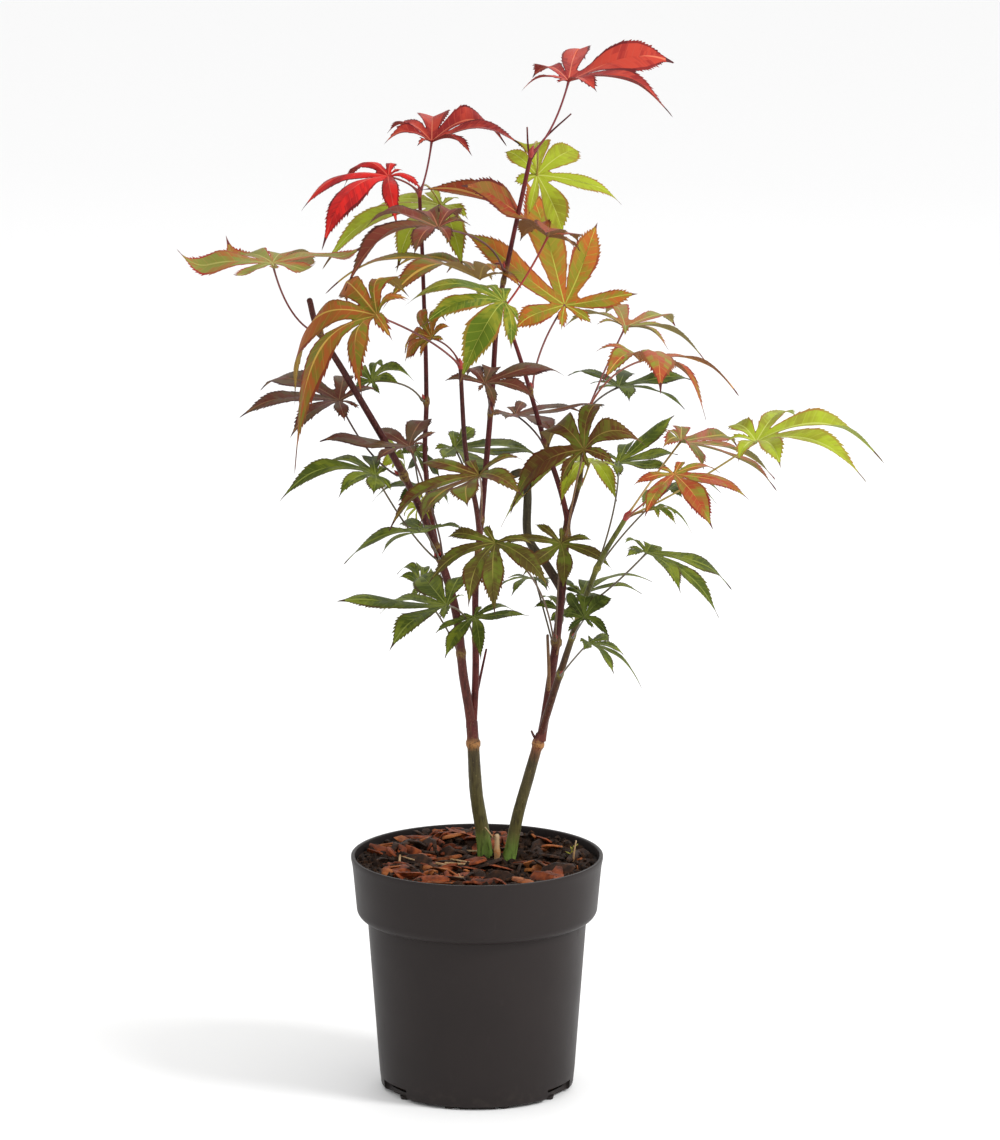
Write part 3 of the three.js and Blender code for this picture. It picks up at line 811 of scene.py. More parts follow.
@dataclass
class Batch:
    """Many small closed shapes, gathered into one mesh.

    Attributes:
        spots: The points of each shape.
        faces: The faces, numbered through all the shapes.
        zones: The material number of each face.
        marks: Numbers carried by the points, by name.
        count: The number of points so far.
    """

    spots: list[Array] = field(default_factory=list)
    faces: list[tuple[int, ...]] = field(default_factory=list)
    zones: list[int] = field(default_factory=list)
    marks: dict[str, list[Array]] = field(default_factory=dict)
    count: int = 0

    def add(self, spots: Array, faces: Array | list, zones: Array | list) -> None:
        """Adds a shape given by arrays.

        Args:
            spots: Its points.
            faces: Its faces, by the numbers of its points.
            zones: The material number of each face.
        """
        self.spots.append(spots)
        self.faces.extend(tuple(int(i) + self.count for i in face) for face in faces)
        self.zones.extend(int(zone) for zone in zones)
        self.count += len(spots)

    def take(self, shape: Shape, zone: int = 0, **marks: Array) -> None:
        """Adds a shape and frees it.

        Args:
            shape: The shape.
            zone: The material number of all its faces.
            **marks: Numbers for its points, by name.
        """
        shape.verts.index_update()
        spots = np.array([v.co for v in shape.verts], float)
        faces = [tuple(v.index for v in f.verts) for f in shape.faces]
        for key, values in marks.items():
            self.marks.setdefault(key, []).append(np.asarray(values, float))
        self.add(spots, faces, [zone] * len(faces))
        shape.free()

    def mesh(self, name: str, sharp_degrees: float, weld: bool = False) -> Mesh:
        """Makes the mesh, in metres, shaded smooth but for its sharp edges.

        Args:
            name: The mesh's name.
            sharp_degrees: The angle past which an edge stays sharp.
            weld: Whether points that meet are merged, and small holes between them closed.

        Returns:
            The mesh.
        """
        mesh = bpy.data.meshes.new(name)
        mesh.from_pydata((np.vstack(self.spots) * MM).tolist(), [], self.faces)
        mesh.polygons.foreach_set("material_index", np.array(self.zones, np.int32))
        for key, values in self.marks.items():
            layer = mesh.attributes.new(key, "FLOAT", "POINT")
            layer.data.foreach_set("value", np.concatenate(values).astype(np.float32))
        if weld:
            shape = bmesh.new()
            shape.from_mesh(mesh)
            ops.remove_doubles(shape, verts=shape.verts, dist=WELD)
            ops.dissolve_degenerate(shape, edges=shape.edges, dist=SPECK)
            holes = [e for e in shape.edges if e.is_boundary]
            ops.holes_fill(shape, edges=holes, sides=HOLE_SIDES)
            ops.recalc_face_normals(shape, faces=shape.faces)
            left = sum(1 for e in shape.edges if not e.is_manifold)
            if left:
                log.warning("%s: %d edges aren't closed", name, left)
            shape.to_mesh(mesh)
            shape.free()
        mesh.shade_smooth()
        mesh.set_sharp_from_angle(angle=math.radians(sharp_degrees))
        return mesh


# ------------ shared materials


@dataclass
class Palette:
    """The materials that many pieces share.

    Attributes:
        barks: The material of each bark.
        tints: The materials of each kind of leaf, in the order of its zones.
        stalks: The material of each kind of leaf's stalks.
        bud: The material of the buds.
    """

    barks: dict[Bark, Material]
    tints: dict[Tint, list[Material]]
    stalks: dict[Tint, Material]
    bud: Material

    @classmethod
    def mixed(cls) -> "Palette":
        """Makes the materials of every bark and tint that the plant uses.

        Returns:
            The palette.
        """
        barks = {bark: bark.value.material(f"bark_{bark.name.lower()}")
                 for bark in dict.fromkeys(limb.bark for limb in TRUNKS_AND_BOUGHS)}
        tints, stalks = {}, {}
        for tint in dict.fromkeys(leaf.tint for mass in MASSES for leaf in mass.leaves):
            tints[tint] = tint.value.materials(tint.label)
            stalk = Shader(f"stalk_{tint.label}")
            stalks[tint] = stalk.finish(Base_Color=linear(tint.value.stalk), Roughness=0.4,
                                        Specular_IOR_Level=0.4)
        bud = Shader("bud").finish(Base_Color=linear(BUD_RED), Roughness=0.45)
        return cls(barks, tints, stalks, bud)


# ------------ trunks and boughs


# Growth of a limb by the source's rule: a joint's half width as a share of the length, and how
# fast a foot's flare dies out along it.
RING_SPREAD = 0.025
FLARE_FADE = 9

# The length over which a foot's collar dies out, and the growth of a joint that carries leaves.
COLLAR_RUN = 5
LEAF_JOINT = 0.22

# A joint's ridges, each by place, height and spread, and how far they lean up one side.
JOINT_RIDGES = ((0.0, 0.75, 2.4), (1.9, 0.3, 0.7), (-1.4, 0.3, 0.7))
JOINT_LEAN = 1.1
JOINT_STAIN = 3.2

# The bark's unevenness, each layer by radius, pitch along the limb and depth.
BARK_RELIEF = ((1.1, 0.035, 0.07), (2.2, 0.25, 0.03))


def barked(
    name: str, shape: Shape, joint: Array, bark: Bark, palette: Palette, *nodes: str
) -> None:
    """Makes a piece of wood from a tube.

    Args:
        name: The piece's name.
        shape: The tube, which is freed.
        joint: How far each of its points lies on an old leaf joint.
        bark: The bark that it wears.
        palette: The shared materials.
        *nodes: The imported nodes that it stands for, if any.
    """
    batch = Batch()
    batch.take(shape, share=tube_shares(shape), joint=joint)
    dress(object_from(name, batch.mesh(name, 60), [palette.barks[bark]]), bark.value.slot, *nodes)


@dataclass(frozen=True)
class Limb:
    """A trunk, bough or twig: a smooth tapering line with old leaf joints.

    Attributes:
        name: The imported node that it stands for.
        path: The points that its middle passes through.
        radii: Its radius at its foot and at its tip.
        bark: The bark that it wears.
        rings: The share of the length and the growth of each joint.
        flare: How far its foot widens in the source's rule.
        collar: How far its foot widens into what it springs from.
        sides: The number of its sides.
        pitch: The distance between its rings of points.
    """

    name: str
    path: list[tuple]
    radii: Pair
    bark: Bark
    rings: Pairs = ()
    flare: float = 1.0
    collar: float = 0.0
    sides: int = 16
    pitch: float = 1.7

    def line(self) -> Line:
        """Gives the line of its middle."""
        return Line.through(self.path)

    def _taper(self, share: Array) -> Array:
        """Gives its radius at shares of its length, with its flare and without its joints."""
        taper = self.radii[0] + (self.radii[1] - self.radii[0]) * share
        return taper * (1 + (self.flare - 1) * np.exp(-share * FLARE_FADE))

    def radius(self, share: Array | float) -> Array:
        """Finds its radius by the source's rule.

        Args:
            share: Shares of its length.

        Returns:
            The radius at each.
        """
        share = np.asarray(share, float)
        return self._taper(share) * (
            1 + sum(size * np.exp(-(((share - at) / RING_SPREAD) ** 2)) for at, size in self.rings))

    def slender(self, share: Array) -> Array:
        """Gives its radius without its joints, with its foot widened into what it springs from."""
        widened = 1 + self.collar * np.exp(-share * self.line().length / COLLAR_RUN)
        return self._taper(share) * widened

    def build(self, joints: list[float], palette: Palette) -> None:
        """Makes the limb with its joints and the relief of its bark.

        Args:
            joints: The shares of its length where it carries leaves.
            palette: The shared materials.
        """
        line = self.line()
        steps = max(8, round(line.length / self.pitch))
        share = np.linspace(0, 1, steps + 1)
        run = share * line.length
        radii = np.repeat(self.slender(share)[:, None], self.sides, 1)
        ringed = np.zeros(steps + 1)
        places = [*self.rings, *((at, LEAF_JOINT) for at in joints if at < 1)]
        turns = np.arange(self.sides) / self.sides * 2 * math.pi
        for number, (at, size) in enumerate(places):
            off = run - at * line.length
            lean = JOINT_LEAN * np.cos(turns + 6.3 * chance(number, len(self.name)))[None, :]
            radii *= 1 + size * sum(
                height * np.exp(-(((off[:, None] - lean - place) / spread) ** 2))
                for place, height, spread in JOINT_RIDGES)
            ringed = np.maximum(ringed, np.exp(-((off / JOINT_STAIN) ** 2)))
        for k, row in enumerate(run):
            for j, turn in enumerate(turns):
                radii[k, j] *= 1 + sum(depth * soft_noise(*polar(size, turn), row * pitch)
                                       for size, pitch, depth in BARK_RELIEF)
        shape = tube(line, radii, self.sides, (0.2, 0.9))
        joint = np.interp(tube_shares(shape), share, ringed)
        barked(f"bark_{self.name}", shape, joint, self.bark, palette, self.name)


@dataclass(frozen=True)
class Sprout:
    """A bare stalk, a small bud or a dead stub that sits on a limb.

    Attributes:
        name: Its name.
        path: The points that its middle passes through.
        radii: Its radius at its foot and at its tip.
        bark: The bark that it wears.
    """

    name: str
    path: list[tuple]
    radii: Pair
    bark: Bark

    def build(self, palette: Palette) -> None:
        """Makes the sprout's piece from the shared materials.

        Args:
            palette: The shared materials.
        """
        line = Line.through(self.path)
        steps = max(5, round(line.length / 2))
        shape = tube(line, np.linspace(*self.radii, steps + 1), 8, (0.2, 0.6))
        barked(self.name, shape, np.zeros(len(shape.verts)), self.bark, palette)


# ------------ leaves


@dataclass(frozen=True)
class Leaf:
    """A leaf by the source's rule, with the tint and the fold of its blade.

    Attributes:
        heart: The spot where its lobes meet.
        bearing: The compass bearing of its middle lobe in degrees.
        rise: That lobe's rise in degrees.
        roll: The blade's roll about that lobe in degrees.
        span: That lobe's length.
        fan: The angle between lobes in degrees.
        droop: How far its lobes droop.
        skew: How lopsided it is.
        seed: The seed of the small differences between its lobes.
        tint: Its colours.
        keel: The rise of its lobes' sides from their midribs. Below 0 they hang from them.
        arch: How high its lobes arch, as a share of their length.
        wide: The width of its lobes as a share of the usual one.
        drip: How far its lobes' long tips hang as a share of the usual drop. Below 0 they curl up.
        odd: The lobes that are unlike the others, each with its place from the middle lobe, its
            further roll in degrees and its width as a share of the others'.
    """

    heart: Triple
    bearing: float
    rise: float
    roll: float
    span: float
    fan: float
    droop: float
    skew: float
    seed: float
    tint: Tint
    keel: float = 0.14
    arch: float = 0.08
    wide: float = 1.0
    drip: float = 1.0
    odd: tuple[tuple[int, float, float], ...] = ()


@dataclass(frozen=True)
class Lobe:
    """One lobe of a blade.

    Attributes:
        angle: Its angle from the middle lobe in radians.
        length: Its length.
        droop: How far it droops.
        twist: The roll of its outer part in radians.
        sweep: How far its outer part bends sideways.
        width: Its width as a share of the usual one.
        wave: The phase of the waves along it.
        drip: How far its long tip hangs.
    """

    angle: float
    length: float
    droop: float
    twist: float
    sweep: float
    width: float
    wave: float
    drip: float


# The points across a lobe on each face, the strips between them, and the midrib's strip.
COLUMNS = 8
STRIPS = COLUMNS - 1
MIDRIB = STRIPS // 2

# The span of leaf for which stalks and veins have their plain sizes.
USUAL_SPAN = 75

# The teeth's pitch as a share of the span and its limits, and the least step between rows in it.
TOOTH_PITCH, PITCH_LIMITS = 0.043, (2.0, 3.8)
LEAST_ROW = 0.3

# Where a patch's four shades begin: steps from the quantile of the noise that its share gives.
PATCH_STEPS = (-0.26, -0.09, 0.07, 0.22)

# The patches' noise, broad and fine: pitch out and aside, level and height.
PATCH_NOISE = ((0.075, 0.11, 0, 1), (0.3, 0.35, 40, 0.55))


@dataclass
class Blade:
    """A palmate blade: pointed, toothed lobes round a heart, closed at their margins.

    Attributes:
        leaf: The leaf that it belongs to.
        width: Half a lobe's greatest width as a share of its length.
        slant: How far the side veins lean forward.
        thickness: Half the blade's thickness.
        rib: How far a midrib stands out at its foot, on top and at the heart's underside.
        puff: How far the blade swells between two side veins, as a share of the teeth's pitch.
        tooth: How far its teeth stand out, as a share of their pitch.
        tooth_lean: How far they lean forward, as a share of their pitch.
        tooth_shape: How far each of a tooth's rows stands out, as a share of the tooth.
        toothed: The shares of a lobe's length between which its teeth die out.
        crowd: The most of the room to its neighbour that a free lobe takes.
        drawn: How far past a sinus the margin is drawn out, as a share of the lobe's length.
        sinus: How far out neighbouring lobes stay joined, as a share of their length.
        sinus_limit: The most by which a long lobe draws a short one's sinus out.
        open_angle: The angle in degrees of the gap beside the outermost lobes.
        profile: The half width along a lobe, as shares of its length and of its greatest width.
        ratios: The lobes' lengths as shares of the middle one's, from it outwards.
        offsets: The rows of points in a tooth, as shares of its pitch.
    """

    leaf: Leaf
    width: float = 0.148
    slant: float = 0.7
    thickness: float = 0.2
    rib: Pair = (0.26, 0.4)
    puff: float = 0.06
    tooth: float = 0.25
    tooth_lean: float = 0.45
    tooth_shape: Triple = (0.72, 1.0, -0.1)
    toothed: Pair = (0.74, 0.93)
    crowd: float = 0.96
    drawn: float = 0.1
    sinus: float = 0.16
    sinus_limit: float = 1.6
    open_angle: float = 34
    profile: Pairs = (
        (0, 0.42), (0.15, 0.5), (0.3, 0.82), (0.45, 1), (0.6, 0.86), (0.75, 0.5), (0.86, 0.19),
        (0.93, 0.075), (1, 0))
    ratios: tuple[float, ...] = (1, 0.92, 0.68, 0.35)
    offsets: tuple[float, ...] = (0, 0.14, 0.6)

    def __post_init__(self) -> None:
        """Works out the leaf's directions, its lobes and the rows across them."""
        leaf = self.leaf
        heading, rise, roll = (math.radians(a) for a in (leaf.bearing, leaf.rise, leaf.roll))
        self.lead = np.array((*polar(math.cos(rise), heading), math.sin(rise)))
        level = np.array((-math.sin(heading), math.cos(heading), 0))
        self.side = level * math.cos(roll) + np.cross(self.lead, level) * math.sin(roll)
        self.face = np.cross(self.lead, self.side)
        self.lobes = [self._lobe(i) for i in range(2 * len(self.ratios) - 1)]
        self.pitch = float(np.clip(leaf.span * TOOTH_PITCH, *PITCH_LIMITS))
        longest = max(lobe.length for lobe in self.lobes)
        teeth = np.arange(int(longest / self.pitch) + 1)
        marks = (teeth[:, None] + np.array(self.offsets)) * self.pitch
        kinds = np.tile(np.arange(len(self.offsets)), len(teeth))
        kept = (marks.ravel() == 0) | (marks.ravel() > LEAST_ROW * self.pitch)
        self.marks, self.kinds = marks.ravel()[kept], kinds[kept]

    def _lobe(self, i: int) -> Lobe:
        """Gives one lobe, a little unlike the rule by the leaf's seed.

        Args:
            i: The lobe's number, from the right.

        Returns:
            The lobe.
        """
        leaf = self.leaf
        half = len(self.ratios) - 1
        place = i - half

        def wobble(step: int, size: float) -> float:
            """Gives a difference of up to half a size either way."""
            return size * (chance(leaf.seed, step) - 0.5)

        ratio = self.ratios[abs(place)] * (1 + leaf.skew * place / half)
        turn, share = next(((turn, share) for at, turn, share in leaf.odd if at == place), (0, 1))
        return Lobe(
            angle=math.radians(place * leaf.fan + wobble(i, 18)),
            length=leaf.span * ratio * (1 + wobble(i + 9, 0.36)),
            droop=leaf.droop + wobble(i + 18, 0.5),
            twist=math.radians(turn + wobble(i + 27, 34)),
            sweep=wobble(i + 36, 0.3),
            width=leaf.wide * share * (1 + wobble(i + 45, 0.24)),
            wave=bearing(leaf.seed, i + 54),
            drip=leaf.drip * (0.1 + 0.14 * chance(leaf.seed, i + 63)),
        )

    def _half_angle(self, i: int, way: int) -> float:
        """Finds half the angle between a lobe and its neighbour.

        Args:
            i: The lobe's number.
            way: -1 for its right side, 1 for its left.

        Returns:
            The angle in radians.
        """
        if not 0 <= i + way < len(self.lobes):
            return math.radians(self.open_angle)
        return abs(self.lobes[i + way].angle - self.lobes[i].angle) / 2

    def _joined_to(self, i: int, way: int) -> float:
        """Gives the last row at which a lobe is joined to its neighbour on one side.

        Args:
            i: The lobe's number.
            way: -1 for its right side, 1 for its left.

        Returns:
            The row's distance out, or 0 with no neighbour there.
        """
        if not 0 <= i + way < len(self.lobes):
            return 0.0
        lengths = sorted((self.lobes[i].length, self.lobes[i + way].length))
        reach = self.sinus * min(lengths[1], self.sinus_limit * lengths[0])
        beta = self._half_angle(i, way)
        row = reach * math.cos(beta) * (1 - self.slant * math.tan(beta))
        return float(self.marks[self.marks <= row][-1])

    def _room(self, i: int, way: int, rows: Array) -> Array:
        """Gives the width between a midrib and the line half way to the next, along slanting rows."""
        slope = math.tan(self._half_angle(i, way))
        return rows * slope / (1 - self.slant * slope)

    def _margin(self, i: int, way: int, rows: Array, kinds: Array) -> tuple:
        """Gives one side of a lobe.

        Args:
            i: The lobe's number.
            way: -1 for its right side, 1 for its left.
            rows: How far out each row starts on the midrib.
            kinds: Each row's place in its tooth.

        Returns:
            The half width without its teeth, the teeth's reach, their lean, and whether a row is
            joined to the neighbour.
        """
        lobe = self.lobes[i]
        share = rows / lobe.length
        room = self._room(i, way, rows)
        joined_to = self._joined_to(i, way)
        joined = rows <= joined_to + 1e-9
        own = np.interp(share, *zip(*self.profile)) * self.width * lobe.width * lobe.length
        base = float(self._room(i, way, np.array([joined_to]))[0])
        drawn = base * np.exp(-(((rows - joined_to) / (self.drawn * lobe.length)) ** 2))
        half = np.where(joined, room, np.minimum(self.crowd * room, np.maximum(own, drawn)))
        half[-1] = 0
        fade = smooth(joined_to, joined_to + 0.12 * lobe.length, rows)
        fade = fade * (1 - smooth(*self.toothed, share))
        number = np.floor(rows / self.pitch + 1e-6)
        size = 0.9 + 0.3 * np.cos(math.pi * number) + 0.4 * np.sin(number * 2.3 + lobe.wave * way)
        shape = np.choose(kinds, self.tooth_shape) * fade * np.where(joined, 0, 1)
        shape[-1] = 0
        lean = self.tooth_lean * self.pitch * np.maximum(shape, 0)
        return half, self.tooth * self.pitch * size * shape, lean, joined

    def _settle(self, i: int, way: int, out: Array, off: Array) -> tuple:
        """Gives the arch and the drop of spots, which neighbouring lobes share where they meet.

        Args:
            i: The lobe's number.
            way: The side that the spots are on.
            out: How far out they are along the midrib.
            off: How far they are from it.

        Returns:
            Their rise above the blade's plane, and their drop.
        """
        def bend(lobe: Lobe, reach: Array) -> tuple:
            """Gives a lobe's own arch and drop."""
            arch = self.leaf.arch * lobe.length * np.sin(np.pi * np.clip(reach / lobe.length, 0, 1))
            return arch, lobe.droop * reach ** 2 / self.leaf.span

        lobe = self.lobes[i]
        arch, drop = bend(lobe, out)
        if 0 <= i + way < len(self.lobes):
            other = self.lobes[i + way]
            turn = abs(other.angle - lobe.angle)
            share = np.arctan2(np.abs(off), np.maximum(out, 1e-9)) / (turn / 2)
            share = 0.5 * np.clip(share, 0, 1) ** 2
            arch_2, drop_2 = bend(other, out * math.cos(turn) + np.abs(off) * math.sin(turn))
            arch = arch * (1 - share) + arch_2 * share
            drop = drop * (1 - share) + drop_2 * share
        return arch, drop

    def _surface(self, i: int) -> tuple[Array, Array, Array]:
        """Works out one lobe's points.

        Args:
            i: The lobe's number.

        Returns:
            Points by row, column and face, the rows' distances, and their places in the teeth.
        """
        lobe, leaf = self.lobes[i], self.leaf
        inside = self.marks < lobe.length - LEAST_ROW * self.pitch
        rows = np.append(self.marks[inside], lobe.length)
        kinds = np.append(self.kinds[inside], 0)
        share = rows / lobe.length
        right = self._margin(i, -1, rows, kinds)
        left = self._margin(i, 1, rows, kinds)
        thick = self.thickness * (1 - 0.6 * share) * np.where(share < 1, 1, 0)
        vein = (0.13 + 0.32 * (1 - share)) * leaf.span / USUAL_SPAN
        vein = np.minimum(vein, 0.3 * np.minimum(right[0], left[0]))
        rib = self.rib[0] * (1 - 0.8 * share) * np.where(share < 1, 1, 0)
        puff = np.where(kinds == 2, self.puff * self.pitch, 0) * (1 - share)
        puff = puff * (0.6 + 0.8 * np.sin(rows * 0.37 + lobe.wave) ** 2)
        outs, offs, tops, unders = [], [], [], []
        for way, (half, teeth, lean, joined) in ((-1, right), (1, left)):
            wall = np.where(joined, self.thickness, 0.0)
            columns = [
                (half + teeth, lean, wall, -wall),
                (0.85 * half, 0.3 * lean, 0.8 * thick + 0.6 * puff, 0.6 * puff - 0.8 * thick),
                (0.45 * half, 0 * half, thick + puff, puff - thick),
                (vein, 0 * half, thick + rib, -thick - 1.5 * rib),
            ]
            for off, forward, top, under in columns if way < 0 else columns[::-1]:
                outs.append(rows + self.slant * off + forward)
                offs.append(way * off)
                tops.append(top)
                unders.append(under)
        out, off = np.stack(outs, 1), np.stack(offs, 1)
        top, under = np.stack(tops, 1), np.stack(unders, 1)
        top[0], under[0] = self.thickness + self.rib[0], -self.thickness - self.rib[1]
        arch, drop = np.empty_like(out), np.empty_like(out)
        for way, part in ((-1, slice(0, COLUMNS // 2)), (1, slice(COLUMNS // 2, COLUMNS))):
            arch[:, part], drop[:, part] = self._settle(i, way, out[:, part], off[:, part])
        reach = max(self._joined_to(i, way) / (1 - self.slant * math.tan(self._half_angle(i, way)))
                    for way in (-1, 1))
        free = smooth(reach, reach + 0.4 * lobe.length, out)
        past = np.maximum(out - reach, 0) / lobe.length
        lift = leaf.keel * np.abs(off) * (1 - 0.5 * smooth(0.5, 1, out / lobe.length))
        wave = np.sin(7 * out / lobe.length + lobe.wave + np.sign(off) * 0.9)
        lift = lift + free * (0.1 * wave * np.abs(off) + 0.008 * lobe.length * wave)
        turned = off * np.cos(lobe.twist * free)
        lift = lift + off * np.sin(lobe.twist * free)
        turned = turned + lobe.sweep * lobe.length * past ** 2
        drop = drop + lobe.drip * lobe.length * np.maximum(out / lobe.length - 0.66, 0) ** 2 * 4
        ahead = np.array((math.cos(lobe.angle), math.sin(lobe.angle)))
        flat_x = out * ahead[0] - turned * ahead[1]
        flat_y = out * ahead[1] + turned * ahead[0]
        spots = []
        for skin in (top, under):
            spot = np.array(leaf.heart) + flat_x[..., None] * self.lead + flat_y[..., None] * self.side
            spot = spot + (arch + lift + skin)[..., None] * self.face
            spot[..., 2] -= drop
            spots.append(spot)
        return np.stack(spots, 2), rows, kinds

    def _cloud(self, i: int, out: float, place: int) -> float:
        """Gives how far a spot of a lobe, by distance and column, leans to the patches' colour.

        Args:
            i: The lobe's number.
            out: How far out the spot is.
            place: Its strip.

        Returns:
            A number about 0, higher where the patches lie.
        """
        aside = (place - MIDRIB) * 0.035 * self.leaf.span
        drift = 7.3 * i + 0.61 * self.leaf.seed
        return sum(height * soft_noise(out * ahead, aside * across, drift + level)
                   for ahead, across, level, height in PATCH_NOISE)

    def _zones(self, i: int, rows: Array, kinds: Array) -> tuple[Array, Array]:
        """Deals out one lobe's colours.

        Args:
            i: The lobe's number.
            rows: The rows' distances out.
            kinds: Their places in the teeth.

        Returns:
            The zone of each face by row and column, on top and underneath.
        """
        finish, seed = self.leaf.tint.value, self.leaf.seed
        middles = (rows[1:] + rows[:-1]) / 2
        share = (middles / self.lobes[i].length)[:, None]
        column = np.arange(STRIPS)[None, :]
        outward = np.abs(column - MIDRIB) / MIDRIB
        cloud = np.array([[self._cloud(i, out, place) for place in range(STRIPS)] for out in middles])
        cloud = cloud + 0.5 * outward + 0.3 * np.sin(share * 5 + 6.3 * chance(seed + i, 70))
        centre = 1 - finish.flushed + 0.4 * (chance(seed, 80 + i) - 0.5)
        marks = np.quantile(cloud, np.clip(centre + np.array(PATCH_STEPS), 0.03, 0.97))
        zone = Zone.BODY + np.digitize(cloud, marks)
        tooth = np.floor(rows[:-1] / self.pitch + 1e-6)
        veined = (kinds[:-1] == 0) & (tooth % 2 == 0)
        zone = np.where(veined[:, None] & (outward < 0.9), Zone.SIDE_VEIN, zone)
        bordered = np.sin(share * 9 + 6.3 * chance(seed + i, 71) + column) > math.cos(
            math.pi * finish.edged)
        free = rows[1:, None] > max(self._joined_to(i, -1), self._joined_to(i, 1))
        margin = np.where(bordered, Zone.EDGE, Zone.RIM)
        zone = np.where((outward == 1) & free, margin, zone)
        zone = np.where(column == MIDRIB, Zone.VEIN, zone)
        under = np.where(column == MIDRIB, Zone.UNDER_VEIN, Zone.UNDER)
        tip = share > 0.92
        return np.where(tip, Zone.TIP, zone), np.where(tip, Zone.TIP, under)

    def into(self, batch: Batch) -> None:
        """Adds the blade to a batch. Its lobes' seams are welded there.

        Args:
            batch: The batch that takes it.
        """
        for i in range(len(self.lobes)):
            spots, rows, kinds = self._surface(i)
            count = len(rows)
            k, c = (grid.ravel() for grid in np.meshgrid(range(count - 1), range(STRIPS), indexing="ij"))
            corner = [((k + a) * COLUMNS + c + b) * 2 for a, b in ((0, 0), (1, 0), (1, 1), (0, 1))]
            top = np.stack(corner, 1)
            under = np.stack(corner[::-1], 1) + 1
            zones = self._zones(i, rows, kinds)
            batch.add(spots.reshape(-1, 3), np.vstack([top, under]).tolist(),
                      np.concatenate([zones[0].ravel(), zones[1].ravel()]))


# A stalk's radius, what the usual span adds to it, and the growth and run of its foot and head.
STALK_RADIUS, STALK_GROWTH = 0.62, 0.14
STALK_FOOT, STALK_HEAD = (0.95, 4.5), (0.35, 3.5)

# The radii of the bud in a stalk's angle, from its foot to its point.
SIDE_BUD = (0.7, 1.05, 1.15, 0.95, 0.6, 0.15)


